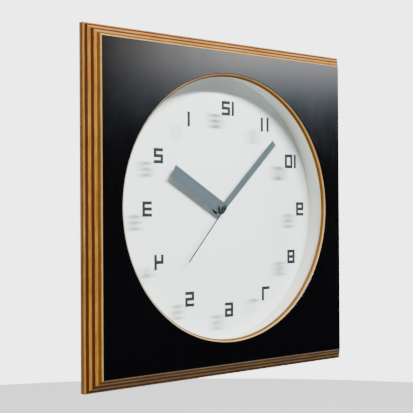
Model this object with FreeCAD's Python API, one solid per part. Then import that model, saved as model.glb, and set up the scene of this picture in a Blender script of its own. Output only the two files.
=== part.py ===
"""Square plywood wall clock that runs anticlockwise, with its quartz movement.

Units are millimetres. +Z is up and the clock faces -Y. The origin is the centre of the hanger's
round hole, in the plane of the wall. Most pieces are placed by their depth behind the front face
and by their place beside the dial's axis, and write_node() brings them to the origin.
"""

import FreeCAD, Part
import math
import os

V = FreeCAD.Vector

# ---- Driving dimensions -------------------------------------------------------------------

# Case: plywood board with a laminate face
SIDE = 340.0  # outline at the rear of the bevel
BEVEL_WIDTH = 13.0
BEVEL_DEPTH = 13.5
LAMINATE_T = 1.2
PLY_T = 18.0
OPENING_R = 135.7  # at the front face, and inside the cup
CHAMFER = 3.0  # around the opening, at 45 degrees
WALL_GAP = 0.7  # from the setting knob to the wall

# Glass, cup and dial
GLASS_DEPTH = 5.0  # from the front face to the front of the glass
GLASS_T = 2.5
GLASS_EDGE_GAP = 0.5
GASKET_T = 0.8
CUP_WALL = 3.5
CUP_FIT = 0.3
FLANGE_WIDTH = 8.8
FLANGE_T = 2.5
DIAL_STAND = 4.3  # from the flange to the dial
DIAL_T = 2.0
DIAL_RIM_INSET = 2.0
BOSS_R = 3.4
RIM_SCREWS = 6

# Numerals: seven-stroke figures, seen mirrored
NUMERAL_H = 15.0
NUMERAL_W = 11.5
NUMERAL_STROKE = 3.4
NUMERAL_INSET = 33.3  # from the opening's edge to the middle of a numeral
NUMERAL_T = 0.15
NUMERAL_DROP = 1.2  # the ring of numerals sits a little low
FIGURE_GAP = 1.9
BAR_GAP = 4.8  # between the two bars of eleven

# Hands
HAND_T = 0.5
HOUR_L = 72.4
HOUR_W = 13.8
HOUR_RISE = 7.0  # from the dial to the middle of the hand
HOUR_ANGLE = 59.3  # anticlockwise from the top, seen from the front
MINUTE_L = 101.0
MINUTE_W = 7.2
MINUTE_END_R = 4.5
MINUTE_RISE = 10.0
MINUTE_ANGLE = -46.3
SECOND_L = 71.7
SECOND_W = 1.5
SECOND_HUB_R = 2.8
SECOND_RISE = 13.0
SECOND_ANGLE = 138.8
COLLAR_WALL = 1.1
COLLAR_L = 1.5

# Rear battens, pads and hanger
BATTEN_L = 240.0
BATTEN_H = 19.0
BATTEN_GAP = 1.5
PAD_R = 6.0
PAD_T = 1.5
PAD_INSET = 14.0
HANGER_W = 44.0
HANGER_H = 17.0
HANGER_T = 1.5
HOLE_R = 4.0
SLOT_R = 2.0
SLOT_RISE = 6.0
HOLE_DROP = 3.0  # from the batten's middle down to the round hole
POCKET_DEPTH = 6.0
POCKET_MARGIN = 1.0

# Screws
WOOD_SCREW_R = 1.5
WOOD_SCREW_HEAD_R = 2.9
SMALL_SCREW_R = 0.9
SMALL_SCREW_HEAD_R = 1.9
HEAD_T = 1.3
SLOT_LENGTH = 1.3  # of the head's radius
SLOT_WIDTH = 0.3  # of the head's radius
SCREW_GRIP = 9.0
DIAL_SCREW_GRIP = 3.0
BATTEN_SCREW_GRIP = 11.0
BATTEN_SCREW_SPACING = 88.0

# Movement case
MOVEMENT_SIDE = 56.0
MOVEMENT_WALL = 1.2
MOVEMENT_FLOOR = 1.5
MOVEMENT_T = 16.0
COVER_T = 1.5
WASHER_T = 1.0
WASHER_R = 9.0
BUSH_R = 4.0
BUSH_RISE = 3.5  # in front of the dial
NUT_FLATS = 11.0
NUT_T = 2.2
NUT_WASHER_T = 0.5
NUT_WASHER_R = 6.5

# Battery, AA size
BATTERY_R = 7.25
BATTERY_L = 50.5
NUB_R = 2.75
NUB_L = 1.0
BAY_GAP = 0.2
CONTACT_T = 0.4
CONTACT_W = 8.0

# Gear train
RUNNING = 0.06  # radial clearance of each running fit
PRESSURE_ANGLE = 25.0
ADDENDUM = 0.8
DEDENDUM = 1.1
BACKLASH = 0.06
GEAR_T = 0.8
PINION_T = 1.2
LEVEL_PITCH = 1.5
FIRST_LEVEL = 1.0  # from the case floor to the middle of the first gear level
PIVOT_R = 0.5
PIVOT_DEPTH = 0.8
MINUTE_TUBE_R = 1.5
HOUR_TUBE_R = 2.4
MOTION_DISTANCE = 7.5
THIRD_DISTANCE = 9.6
INTERMEDIATE_DISTANCE = 9.72
ROTOR_DISTANCE = 9.45
MOTION_ANGLE = -35.0
SETTING_ANGLE = -5.0
THIRD_ANGLE = 35.0
INTERMEDIATE_ANGLE = 125.0
ROTOR_ANGLE = 120.0
ROTOR_LEAVES = 10
INTERMEDIATE_TEETH = 60
INTERMEDIATE_LEAVES = 12
SECONDS_TEETH = 60
SECONDS_LEAVES = 10
THIRD_TEETH = 75
THIRD_LEAVES = 10
CLUTCH_TEETH = 80
CANNON_LEAVES = 15
MOTION_TEETH = 45
MOTION_LEAVES = 12
HOUR_TEETH = 48
SETTING_LEAVES = 15
BRIDGE_T = 1.0
BRIDGE_GAP = 0.8
POST_R = 1.2
POSTS = ((-15.0, -3.0), (8.0, 18.0), (11.0, -9.5))
BRIDGE_MARGIN = 1.0
SETTING_SHAFT_R = 0.9
KNOB_R = 5.5
KNOB_T = 2.0
KNOB_GAP = 0.3
KNOB_GROOVES = 12

# Motor and electronics
MAGNET_R = 2.5
MAGNET_T = 3.0
MAGNET_GAP = 0.4
STATOR_T = 1.0
STATOR_HALF_L = 12.6
STATOR_HALF_H = 4.0
STATOR_LEG = 4.0
COIL_LEVEL = 4.0  # from the case floor to the stator's front
COIL_R = 2.8
COIL_CORE_W = 2.0
BOBBIN_FLANGE = 0.8
COIL_GAP = 0.2
BOARD_W = 17.0
BOARD_H = 8.6
BOARD_T = 1.0
BOARD_LIFT = 0.6
CHIP_R = 2.4
CHIP_T = 1.0
CRYSTAL_R = 1.0
CRYSTAL_L = 6.0
COMPONENT_SHIFT = 4.25  # from the circuit board's middle to the chip and to the crystal

# ---- Places worked out from them ----------------------------------------------------------

BOARD_REAR = LAMINATE_T + PLY_T
LIP_R = OPENING_R - CHAMFER
CUP_R = OPENING_R + CUP_WALL
REBATE_R = CUP_R + CUP_FIT
FLANGE_R = CUP_R + FLANGE_WIDTH
RIM_SCREW_R = CUP_R + FLANGE_WIDTH / 2
GLASS_REAR = GLASS_DEPTH + GLASS_T
CUP_FRONT = GLASS_REAR + GASKET_T
FLANGE_REAR = BOARD_REAR + FLANGE_T
DIAL_DEPTH = FLANGE_REAR + DIAL_STAND
DIAL_REAR = DIAL_DEPTH + DIAL_T
CASE_FRONT = DIAL_REAR + WASHER_T
CASE_REAR = CASE_FRONT + MOVEMENT_T
KNOB_FRONT = CASE_REAR + KNOB_GAP
WALL_DEPTH = KNOB_FRONT + KNOB_T + WALL_GAP
FLOOR_REAR = CASE_FRONT + MOVEMENT_FLOOR
COVER_FRONT = CASE_REAR - COVER_T
HOUR_LEVEL, CANNON_LEVEL, CLUTCH_LEVEL, THIRD_LEVEL, SECONDS_LEVEL, ROTOR_LEVEL = (
    FLOOR_REAR + FIRST_LEVEL + LEVEL_PITCH * step for step in range(6)
)
BRIDGE_FRONT = ROTOR_LEVEL + PINION_T / 2 + BRIDGE_GAP
BRIDGE_REAR = BRIDGE_FRONT + BRIDGE_T
CASE_HALF = MOVEMENT_SIDE / 2 - MOVEMENT_WALL
BATTERY_Z = -CASE_HALF + BAY_GAP + BATTERY_R
BAY_WALL_Z = BATTERY_Z + BATTERY_R + BAY_GAP
BATTEN_Z = FLANGE_R + BATTEN_GAP + BATTEN_H / 2
HANGER_RISE = BATTEN_Z - HOLE_DROP
HOUR_BORE_R = MINUTE_TUBE_R + RUNNING
BUSH_BORE_R = HOUR_TUBE_R + RUNNING
NUT_FRONT = DIAL_DEPTH - NUT_WASHER_T - NUT_T


def offset(start, distance, angle):
    """A point beside another one, at an angle from +X towards +Z."""
    turn = math.radians(angle)
    return (start[0] + distance * math.cos(turn), start[1] + distance * math.sin(turn))


CENTRE = (0.0, 0.0)
MOTION = offset(CENTRE, MOTION_DISTANCE, MOTION_ANGLE)
SETTING = offset(MOTION, MOTION_DISTANCE, SETTING_ANGLE)
THIRD = offset(CENTRE, THIRD_DISTANCE, THIRD_ANGLE)
INTERMEDIATE = offset(CENTRE, INTERMEDIATE_DISTANCE, INTERMEDIATE_ANGLE)
ROTOR = offset(INTERMEDIATE, ROTOR_DISTANCE, ROTOR_ANGLE)


# ---- Helpers ------------------------------------------------------------------------------


def write_node(name, shape):
    """Moves a shape from the dial's axis and the front face to the origin, and saves it."""
    placed = shape.copy()
    placed.translate(V(0, -WALL_DEPTH, -HANGER_RISE))
    placed.exportStep("parts/" + name + ".step")


def disc(radius, front, rear, at=CENTRE):
    """A cylinder along the depth."""
    return Part.makeCylinder(radius, rear - front, V(at[0], front, at[1]), V(0, 1, 0))


def ring(outer, inner, front, rear, at=CENTRE):
    """A tube along the depth."""
    return disc(outer, front, rear, at).cut(disc(inner, front, rear, at))


def block(width, height, front, rear, at=CENTRE):
    """A box given by its middle, width, height and depths."""
    corner = V(at[0] - width / 2, front, at[1] - height / 2)
    return Part.makeBox(width, rear - front, height, corner)


def tapered_block(front_side, rear_side, front, rear):
    """A square slab whose four edges slope from one size to another."""
    outlines = []
    for side, depth in ((front_side, front), (rear_side, rear)):
        half = side / 2
        turns = ((-1, -1), (1, -1), (1, 1), (-1, 1), (-1, -1))
        outlines.append(Part.makePolygon([V(x * half, depth, z * half) for x, z in turns]))
    return Part.makeLoft(outlines, True, True)


def turned(shape, angle):
    """A copy turned anticlockwise about the dial's axis, seen from the front."""
    copy = shape.copy()
    copy.rotate(V(0, 0, 0), V(0, -1, 0), angle)
    return copy


def around(radius, count, first_angle):
    """Points spaced evenly on a circle."""
    return [offset(CENTRE, radius, first_angle + 360.0 * step / count) for step in range(count)]


def fused(shapes):
    """One solid from touching shapes, with no seams left in flat faces."""
    return shapes[0].multiFuse(shapes[1:]).removeSplitter()


def screw(at, seat, shank_r, head_r, grip):
    """A slotted screw whose head faces the wall and whose shank goes into its seat."""
    head = disc(head_r, seat, seat + HEAD_T, at)
    shank = disc(shank_r, seat - grip, seat, at)
    slot = block(head_r * SLOT_LENGTH, head_r * SLOT_WIDTH, seat + HEAD_T / 2, seat + HEAD_T, at)
    return fused([head, shank]).cut(slot)


# ---- Gears --------------------------------------------------------------------------------


def involute(angle):
    """The involute of a pressure angle, in radians."""
    return math.tan(angle) - angle


def gear(teeth, module, front, rear, at, phase):
    """A spur gear with one tooth centred on the phase angle, in degrees."""
    pitch_r = module * teeth / 2
    base_r = pitch_r * math.cos(math.radians(PRESSURE_ANGLE))
    tip_r = pitch_r + ADDENDUM * module
    root_r = pitch_r - DEDENDUM * module
    half_at_pitch = math.pi / (2 * teeth) - BACKLASH / (4 * pitch_r)
    spread = half_at_pitch + involute(math.radians(PRESSURE_ANGLE))

    def half_angle(radius):
        """Half of the tooth's angular thickness at a radius."""
        return spread - involute(math.acos(min(1.0, base_r / max(radius, base_r))))

    def point(radius, angle):
        """A point in the gear's front plane."""
        return V(at[0] + radius * math.cos(angle), front, at[1] + radius * math.sin(angle))

    flank_r = max(base_r, root_r)
    middle_r = (flank_r + tip_r) / 2
    edges = []
    for tooth in range(teeth):
        centre = math.radians(phase) + 2 * math.pi * tooth / teeth
        following = centre + 2 * math.pi / teeth
        root_half = half_angle(flank_r)
        rising = [point(r, centre - half_angle(r)) for r in (flank_r, middle_r, tip_r)]
        falling = [point(r, centre + half_angle(r)) for r in (tip_r, middle_r, flank_r)]
        if root_r < flank_r:
            edges.append(Part.makeLine(point(root_r, centre - root_half), rising[0]))
        edges.append(Part.Arc(*rising).toShape())
        edges.append(Part.Arc(rising[2], point(tip_r, centre), falling[0]).toShape())
        edges.append(Part.Arc(*falling).toShape())
        if root_r < flank_r:
            edges.append(Part.makeLine(falling[2], point(root_r, centre + root_half)))
        ends = (centre + root_half, (centre + following) / 2, following - root_half)
        edges.append(Part.Arc(*[point(root_r, end) for end in ends]).toShape())
    return Part.Face(Part.Wire(edges)).extrude(V(0, rear - front, 0))


def meshing_phase(phase, teeth, at, other_teeth, other_at):
    """The phase at which another gear's space faces this gear's tooth on the line of centres."""
    line = math.degrees(math.atan2(other_at[1] - at[1], other_at[0] - at[0]))
    lead = (line - phase) * teeth / 360.0
    return line + 180.0 - (0.5 - lead) * 360.0 / other_teeth


def wheel(teeth, module, level, at, phase):
    """A gear disc centred on its level."""
    return gear(teeth, module, level - GEAR_T / 2, level + GEAR_T / 2, at, phase)


def pinion(leaves, module, level, at, phase):
    """A small, longer gear centred on its level."""
    return gear(leaves, module, level - PINION_T / 2, level + PINION_T / 2, at, phase)


def module_of(distance, teeth, other_teeth):
    """The module that puts two gears at a centre distance."""
    return 2 * distance / (teeth + other_teeth)


HANDS_MODULE = module_of(MOTION_DISTANCE, CANNON_LEAVES, MOTION_TEETH)
HOUR_MODULE = module_of(MOTION_DISTANCE, MOTION_LEAVES, HOUR_TEETH)
SETTING_MODULE = module_of(MOTION_DISTANCE, SETTING_LEAVES, MOTION_TEETH)
THIRD_MODULE = module_of(THIRD_DISTANCE, SECONDS_LEAVES, THIRD_TEETH)
CLUTCH_MODULE = module_of(THIRD_DISTANCE, THIRD_LEAVES, CLUTCH_TEETH)
SECONDS_MODULE = module_of(INTERMEDIATE_DISTANCE, INTERMEDIATE_LEAVES, SECONDS_TEETH)
ROTOR_MODULE = module_of(ROTOR_DISTANCE, ROTOR_LEAVES, INTERMEDIATE_TEETH)


# ---- Case ---------------------------------------------------------------------------------


def side_at(depth):
    """The board's outline at a depth in its bevel."""
    return SIDE - 2 * BEVEL_WIDTH * (1 - depth / BEVEL_DEPTH)


def opening_chamfer():
    """The cone that the chamfer takes out of the face and the board."""
    return Part.makeCone(OPENING_R, LIP_R, CHAMFER, V(0, 0, 0), V(0, 1, 0))


def frame_board():
    """Plywood board: bevelled front edge, chamfered opening, and a rebate for glass and cup behind."""
    bevelled = tapered_block(side_at(LAMINATE_T), SIDE, LAMINATE_T, BEVEL_DEPTH)
    straight = block(SIDE, SIDE, BEVEL_DEPTH, BOARD_REAR)
    board = fused([bevelled, straight])
    board = board.cut(disc(LIP_R, LAMINATE_T, BOARD_REAR)).cut(opening_chamfer())
    board = board.cut(disc(REBATE_R, GLASS_DEPTH, BOARD_REAR))
    for at in around(RIM_SCREW_R, RIM_SCREWS, 0.0):
        board = board.cut(disc(WOOD_SCREW_R, FLANGE_REAR - SCREW_GRIP, BOARD_REAR, at))
    for at in batten_screw_places():
        board = board.cut(disc(WOOD_SCREW_R, BOARD_REAR - BATTEN_SCREW_GRIP, BOARD_REAR, at))
    return board


def face_laminate():
    """Gloss laminate on the board's front, with the same bevel and chamfer."""
    skin = tapered_block(side_at(0.0), side_at(LAMINATE_T), 0.0, LAMINATE_T)
    return skin.cut(disc(LIP_R, 0.0, LAMINATE_T)).cut(opening_chamfer())


def cover_glass():
    """Flat pane that lies against the rebate's shoulder."""
    return disc(REBATE_R - GLASS_EDGE_GAP, GLASS_DEPTH, GLASS_REAR)


def glass_gasket():
    """Soft ring between the glass and the cup's rim."""
    return ring(CUP_R, OPENING_R, GLASS_REAR, CUP_FRONT)


def dial_cup():
    """White ring that presses the glass forward, with a flange on the board and bosses for the dial."""
    cup = fused([disc(CUP_R, CUP_FRONT, DIAL_DEPTH), disc(FLANGE_R, BOARD_REAR, FLANGE_REAR)])
    cup = cup.cut(disc(OPENING_R, CUP_FRONT, DIAL_DEPTH))
    bosses = [disc(BOSS_R, BOARD_REAR, DIAL_DEPTH, at) for at in dial_screw_places()]
    cup = fused([cup] + bosses)
    for at in around(RIM_SCREW_R, RIM_SCREWS, 0.0):
        cup = cup.cut(disc(WOOD_SCREW_R, BOARD_REAR, FLANGE_REAR, at))
    for at in dial_screw_places():
        cup = cup.cut(disc(SMALL_SCREW_R, DIAL_REAR - DIAL_SCREW_GRIP - DIAL_T, DIAL_DEPTH, at))
    return cup


def dial_screw_places():
    """Screws that hold the dial, halfway between those that hold the cup."""
    return around(RIM_SCREW_R, RIM_SCREWS, 180.0 / RIM_SCREWS)


def dial_plate():
    """White sheet behind the cup, with a hole for the movement's bush."""
    plate = disc(FLANGE_R - DIAL_RIM_INSET, DIAL_DEPTH, DIAL_REAR).cut(
        disc(BUSH_R + RUNNING, DIAL_DEPTH, DIAL_REAR)
    )
    for at in dial_screw_places():
        plate = plate.cut(disc(SMALL_SCREW_R, DIAL_DEPTH, DIAL_REAR, at))
    return plate


def cup_screws():
    """Screws through the cup's flange into the board."""
    places = around(RIM_SCREW_R, RIM_SCREWS, 0.0)
    return Part.makeCompound(
        [screw(at, FLANGE_REAR, WOOD_SCREW_R, WOOD_SCREW_HEAD_R, SCREW_GRIP) for at in places]
    )


def dial_screws():
    """Screws through the dial into the cup's bosses."""
    grip = DIAL_T + DIAL_SCREW_GRIP
    places = dial_screw_places()
    return Part.makeCompound(
        [screw(at, DIAL_REAR, SMALL_SCREW_R, SMALL_SCREW_HEAD_R, grip) for at in places]
    )


# ---- Numerals -----------------------------------------------------------------------------

STROKES = {
    "0": "top bottom upper_left lower_left upper_right lower_right",
    "2": "top middle bottom upper_right lower_left",
    "3": "top middle bottom upper_right lower_right",
    "4": "middle upper_left upper_right lower_right",
    "5": "top middle bottom upper_left lower_right",
    "6": "top middle bottom upper_left lower_left lower_right",
    "7": "top upper_right lower_right",
    "8": "top middle bottom upper_left lower_left upper_right lower_right",
    "9": "top middle bottom upper_left upper_right lower_right",
}


def figure(character):
    """One figure before mirroring, centred on the axis, and its width."""
    rear = GLASS_REAR + NUMERAL_T
    if character == "1":
        return block(NUMERAL_STROKE, NUMERAL_H, GLASS_REAR, rear), NUMERAL_STROKE
    across = (NUMERAL_W - NUMERAL_STROKE) / 2
    up = (NUMERAL_H - NUMERAL_STROKE) / 2
    level = {"top": up, "middle": 0.0, "bottom": -up}
    bars = []
    for name in STROKES[character].split():
        if name in level:
            bars.append(block(NUMERAL_W, NUMERAL_STROKE, GLASS_REAR, rear, (0.0, level[name])))
        else:
            side = across if name.endswith("right") else -across
            middle = up / 2 if name.startswith("upper") else -up / 2
            length = up + NUMERAL_STROKE
            bars.append(block(NUMERAL_STROKE, length, GLASS_REAR, rear, (side, middle)))
    return fused(bars), NUMERAL_W


def numeral(text):
    """A whole numeral before mirroring, centred on the axis."""
    gap = BAR_GAP if text == "11" else FIGURE_GAP
    figures = [figure(character) for character in text]
    total = sum(width for _, width in figures) + gap * (len(figures) - 1)
    left = -total / 2
    placed = []
    for shape, width in figures:
        shape.translate(V(left + width / 2, 0, 0))
        placed.append(shape)
        left += width + gap
    return placed


def numerals():
    """Twelve mirrored numerals on the back of the glass, counted anticlockwise."""
    radius = OPENING_R - NUMERAL_INSET
    solids = []
    for hour in range(1, 13):
        at = offset(CENTRE, radius, 90.0 + 30.0 * hour)
        for shape in numeral(str(hour)):
            mirrored = shape.mirror(V(0, 0, 0), V(1, 0, 0))
            mirrored.translate(V(at[0], 0, at[1] - NUMERAL_DROP))
            solids.append(mirrored)
    return Part.makeCompound(solids)


# ---- Hands --------------------------------------------------------------------------------


def hand(length, width, end_r, bore_r, rise, angle):
    """A flat bar with a square tip, a round end over the axis and a collar behind."""
    middle = DIAL_DEPTH - rise
    front = middle - HAND_T / 2
    rear = middle + HAND_T / 2
    blade = block(width, length, front, rear, (0.0, length / 2))
    body = fused([blade, disc(end_r, front, rear), disc(bore_r + COLLAR_WALL, front, rear + COLLAR_L)])
    return turned(body.cut(disc(bore_r, front, rear + COLLAR_L)), angle)


def hour_hand():
    """Broad hour hand."""
    return hand(HOUR_L, HOUR_W, HOUR_W / 2, HOUR_TUBE_R, HOUR_RISE, HOUR_ANGLE)


def minute_hand():
    """Long minute hand with a rounded end."""
    return hand(MINUTE_L, MINUTE_W, MINUTE_END_R, MINUTE_TUBE_R, MINUTE_RISE, MINUTE_ANGLE)


def second_hand():
    """Thin second hand with a small round cap and a socket."""
    middle = DIAL_DEPTH - SECOND_RISE
    front = middle - HAND_T / 2
    rear = middle + HAND_T / 2
    blade = block(SECOND_W, SECOND_L, front, rear, (0.0, SECOND_L / 2))
    socket = disc(PIVOT_R + COLLAR_WALL / 2, front, rear + COLLAR_L)
    body = fused([blade, disc(SECOND_HUB_R, front, rear), socket])
    return turned(body.cut(disc(PIVOT_R, middle, rear + COLLAR_L)), SECOND_ANGLE)


# ---- Rear battens and hanger --------------------------------------------------------------


def batten_screw_places():
    """Screw centres on both battens."""
    inner = BATTEN_SCREW_SPACING / 2
    columns = (-BATTEN_SCREW_SPACING, -inner, inner, BATTEN_SCREW_SPACING)
    return [(x, z) for z in (BATTEN_Z, -BATTEN_Z) for x in columns]


def batten(z):
    """A strip of wood behind the board, with countersunk screw holes."""
    rear = WALL_DEPTH - PAD_T
    strip = block(BATTEN_L, BATTEN_H, BOARD_REAR, rear, (0.0, z))
    for at in batten_screw_places():
        if at[1] == z:
            strip = strip.cut(disc(WOOD_SCREW_R, BOARD_REAR, rear, at))
            strip = strip.cut(disc(WOOD_SCREW_HEAD_R, rear - HEAD_T, rear, at))
    return strip


def keyhole(grow, front, rear):
    """A round hole with a narrower slot above it, grown on every side."""
    hole = disc(HOLE_R + grow, front, rear, (0.0, HANGER_RISE))
    slot = block(2 * (SLOT_R + grow), SLOT_RISE, front, rear, (0.0, HANGER_RISE + SLOT_RISE / 2))
    top = disc(SLOT_R + grow, front, rear, (0.0, HANGER_RISE + SLOT_RISE))
    return fused([hole, slot, top])


def hanger_screw_places():
    """Two screws in the hanger's ends."""
    reach = (HANGER_W - HANGER_H / 2) / 2
    return [(-reach, BATTEN_Z), (reach, BATTEN_Z)]


def screw_head_pocket():
    """Room behind the hanger for the head of the wall screw."""
    rear = WALL_DEPTH - HANGER_T
    width = 2 * (HOLE_R + POCKET_MARGIN)
    hole = disc(width / 2, rear - POCKET_DEPTH, rear, (0.0, HANGER_RISE))
    middle = (0.0, HANGER_RISE + SLOT_RISE / 2)
    return fused([hole, block(width, SLOT_RISE, rear - POCKET_DEPTH, rear, middle)])


def bottom_batten():
    """Lower batten, which keeps the clock parallel to the wall."""
    return batten(-BATTEN_Z)


def top_batten():
    """Upper batten, with a pocket behind the keyhole."""
    strip = batten(BATTEN_Z).cut(screw_head_pocket())
    seat = WALL_DEPTH - HANGER_T
    for at in hanger_screw_places():
        strip = strip.cut(disc(SMALL_SCREW_R, seat - SCREW_GRIP, seat, at))
    return strip


def hanger_plate():
    """Steel plate with a keyhole, screwed to the upper batten."""
    plate = block(HANGER_W, HANGER_H, WALL_DEPTH - HANGER_T, WALL_DEPTH, (0.0, BATTEN_Z))
    plate = plate.cut(keyhole(0.0, WALL_DEPTH - HANGER_T, WALL_DEPTH))
    for at in hanger_screw_places():
        plate = plate.cut(disc(SMALL_SCREW_HEAD_R, WALL_DEPTH - HANGER_T, WALL_DEPTH, at))
    return plate


def hanger_screws():
    """Flat screws, flush with the hanger plate."""
    solids = []
    for at in hanger_screw_places():
        head = disc(SMALL_SCREW_HEAD_R, WALL_DEPTH - HANGER_T, WALL_DEPTH, at)
        shank = disc(SMALL_SCREW_R, WALL_DEPTH - HANGER_T - SCREW_GRIP, WALL_DEPTH - HANGER_T, at)
        solids.append(fused([head, shank]))
    return Part.makeCompound(solids)


def batten_screws():
    """Long screws through both battens into the board."""
    rear = WALL_DEPTH - PAD_T
    solids = []
    for at in batten_screw_places():
        head = disc(WOOD_SCREW_HEAD_R, rear - HEAD_T, rear, at)
        shank = disc(WOOD_SCREW_R, BOARD_REAR - BATTEN_SCREW_GRIP, rear - HEAD_T, at)
        solids.append(fused([head, shank]))
    return Part.makeCompound(solids)


def wall_pads():
    """Four felt pads that rest on the wall."""
    reach = BATTEN_L / 2 - PAD_INSET
    places = [(x, z) for x in (-reach, reach) for z in (-BATTEN_Z, BATTEN_Z)]
    return Part.makeCompound([disc(PAD_R, WALL_DEPTH - PAD_T, WALL_DEPTH, at) for at in places])


# ---- Movement case ------------------------------------------------------------------------


def pivot_hole(at):
    """Blind hole in the case floor for an arbor's front pivot."""
    return disc(PIVOT_R + RUNNING, FLOOR_REAR - PIVOT_DEPTH, FLOOR_REAR, at)


def movement_case():
    """Moulded case: floor, walls, battery bay wall, bridge posts and the bush for the hands."""
    inner = 2 * CASE_HALF
    case = block(MOVEMENT_SIDE, MOVEMENT_SIDE, CASE_FRONT, COVER_FRONT)
    case = case.cut(block(inner, inner, FLOOR_REAR, COVER_FRONT))
    bay_wall = block(inner, MOVEMENT_WALL, FLOOR_REAR, COVER_FRONT, (0.0, BAY_WALL_Z + MOVEMENT_WALL / 2))
    posts = [disc(POST_R, FLOOR_REAR, BRIDGE_FRONT, at) for at in POSTS]
    bush = disc(BUSH_R, DIAL_DEPTH - BUSH_RISE, CASE_FRONT)
    case = fused([case, bay_wall, bush] + posts)
    case = case.cut(disc(BUSH_BORE_R, DIAL_DEPTH - BUSH_RISE, FLOOR_REAR))
    for at in (THIRD, INTERMEDIATE, ROTOR, MOTION, SETTING):
        case = case.cut(pivot_hole(at))
    for at in POSTS:
        case = case.cut(disc(PIVOT_R, BRIDGE_FRONT - DIAL_SCREW_GRIP, BRIDGE_FRONT, at))
    return case


def movement_cover():
    """Rear cover over the train, with a hole for the setting shaft. The battery bay stays open."""
    top = MOVEMENT_SIDE / 2
    bottom = BAY_WALL_Z
    middle = (0.0, (top + bottom) / 2)
    plate = block(MOVEMENT_SIDE, top - bottom, COVER_FRONT, CASE_REAR, middle)
    return plate.cut(disc(SETTING_SHAFT_R + RUNNING, COVER_FRONT, CASE_REAR, SETTING))


def movement_washer():
    """Rubber washer between the dial and the movement."""
    return ring(WASHER_R, BUSH_R, DIAL_REAR, CASE_FRONT)


def nut_washer():
    """Thin washer under the nut."""
    return ring(NUT_WASHER_R, BUSH_R, DIAL_DEPTH - NUT_WASHER_T, DIAL_DEPTH)


def centre_nut():
    """Hexagon nut that clamps the movement to the dial."""
    corner = NUT_FLATS / 2 / math.cos(math.radians(30.0))
    corners = []
    for step in range(7):
        x, z = offset(CENTRE, corner, 60.0 * step)
        corners.append(V(x, NUT_FRONT, z))
    hexagon = Part.Face(Part.makePolygon(corners)).extrude(V(0, NUT_T, 0))
    return hexagon.cut(disc(BUSH_R, NUT_FRONT, NUT_FRONT + NUT_T))


def train_bridge():
    """Plate on three posts that carries the rear pivots."""
    left = min(at[0] for at in POSTS) - BRIDGE_MARGIN
    right = max(at[0] for at in POSTS) + BRIDGE_MARGIN
    bottom = min(at[1] for at in POSTS) - BRIDGE_MARGIN
    top = max(at[1] for at in POSTS) + BRIDGE_MARGIN
    middle = ((left + right) / 2, (bottom + top) / 2)
    plate = block(right - left, top - bottom, BRIDGE_FRONT, BRIDGE_REAR, middle)
    for at in (CENTRE, THIRD, INTERMEDIATE, ROTOR):
        plate = plate.cut(disc(PIVOT_R + RUNNING, BRIDGE_FRONT, BRIDGE_REAR, at))
    for at in POSTS:
        plate = plate.cut(disc(PIVOT_R, BRIDGE_FRONT, BRIDGE_REAR, at))
    return plate


def bridge_screws():
    """Small screws that hold the bridge on its posts."""
    solids = []
    for at in POSTS:
        head = disc(POST_R, BRIDGE_REAR, BRIDGE_REAR + HEAD_T / 2, at)
        shank = disc(PIVOT_R, BRIDGE_FRONT - DIAL_SCREW_GRIP, BRIDGE_REAR, at)
        solids.append(fused([head, shank]))
    return Part.makeCompound(solids)


# ---- Wheels -------------------------------------------------------------------------------


def arbor(at, front, rear):
    """A thin steel rod."""
    return disc(PIVOT_R, front, rear, at)


PIVOT_FRONT = FLOOR_REAR - PIVOT_DEPTH + RUNNING
SECONDS_PHASE = 0.0
THIRD_PHASE = meshing_phase(SECONDS_PHASE, SECONDS_LEAVES, CENTRE, THIRD_TEETH, THIRD)
CLUTCH_PHASE = meshing_phase(THIRD_PHASE, THIRD_LEAVES, THIRD, CLUTCH_TEETH, CENTRE)
INTERMEDIATE_PHASE = meshing_phase(SECONDS_PHASE, SECONDS_TEETH, CENTRE, INTERMEDIATE_LEAVES, INTERMEDIATE)
ROTOR_PHASE = meshing_phase(INTERMEDIATE_PHASE, INTERMEDIATE_TEETH, INTERMEDIATE, ROTOR_LEAVES, ROTOR)
CANNON_PHASE = 0.0
MOTION_PHASE = meshing_phase(CANNON_PHASE, CANNON_LEAVES, CENTRE, MOTION_TEETH, MOTION)
HOUR_PHASE = meshing_phase(MOTION_PHASE, MOTION_LEAVES, MOTION, HOUR_TEETH, CENTRE)
SETTING_PHASE = meshing_phase(MOTION_PHASE, MOTION_TEETH, MOTION, SETTING_LEAVES, SETTING)


def rotor_pinion():
    """Rotor shaft with its pinion."""
    leaves = pinion(ROTOR_LEAVES, ROTOR_MODULE, ROTOR_LEVEL, ROTOR, ROTOR_PHASE)
    return fused([leaves, arbor(ROTOR, PIVOT_FRONT, BRIDGE_REAR)])


def rotor_magnet():
    """Round magnet on the rotor shaft, inside the stator's hole."""
    middle = FLOOR_REAR + COIL_LEVEL + STATOR_T / 2
    return ring(MAGNET_R, PIVOT_R, middle - MAGNET_T / 2, middle + MAGNET_T / 2, ROTOR)


def intermediate_wheel():
    """Wheel driven by the rotor, with the pinion that drives the seconds wheel."""
    large = wheel(INTERMEDIATE_TEETH, ROTOR_MODULE, ROTOR_LEVEL, INTERMEDIATE, INTERMEDIATE_PHASE)
    small = pinion(INTERMEDIATE_LEAVES, SECONDS_MODULE, SECONDS_LEVEL, INTERMEDIATE, INTERMEDIATE_PHASE)
    return fused([large, small, arbor(INTERMEDIATE, PIVOT_FRONT, BRIDGE_REAR)])


def seconds_wheel():
    """Wheel whose long arbor carries the second hand, with the pinion that drives the third wheel."""
    large = wheel(SECONDS_TEETH, SECONDS_MODULE, SECONDS_LEVEL, CENTRE, SECONDS_PHASE)
    small = pinion(SECONDS_LEAVES, THIRD_MODULE, THIRD_LEVEL, CENTRE, SECONDS_PHASE)
    return fused([large, small, arbor(CENTRE, DIAL_DEPTH - SECOND_RISE, BRIDGE_REAR)])


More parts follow.
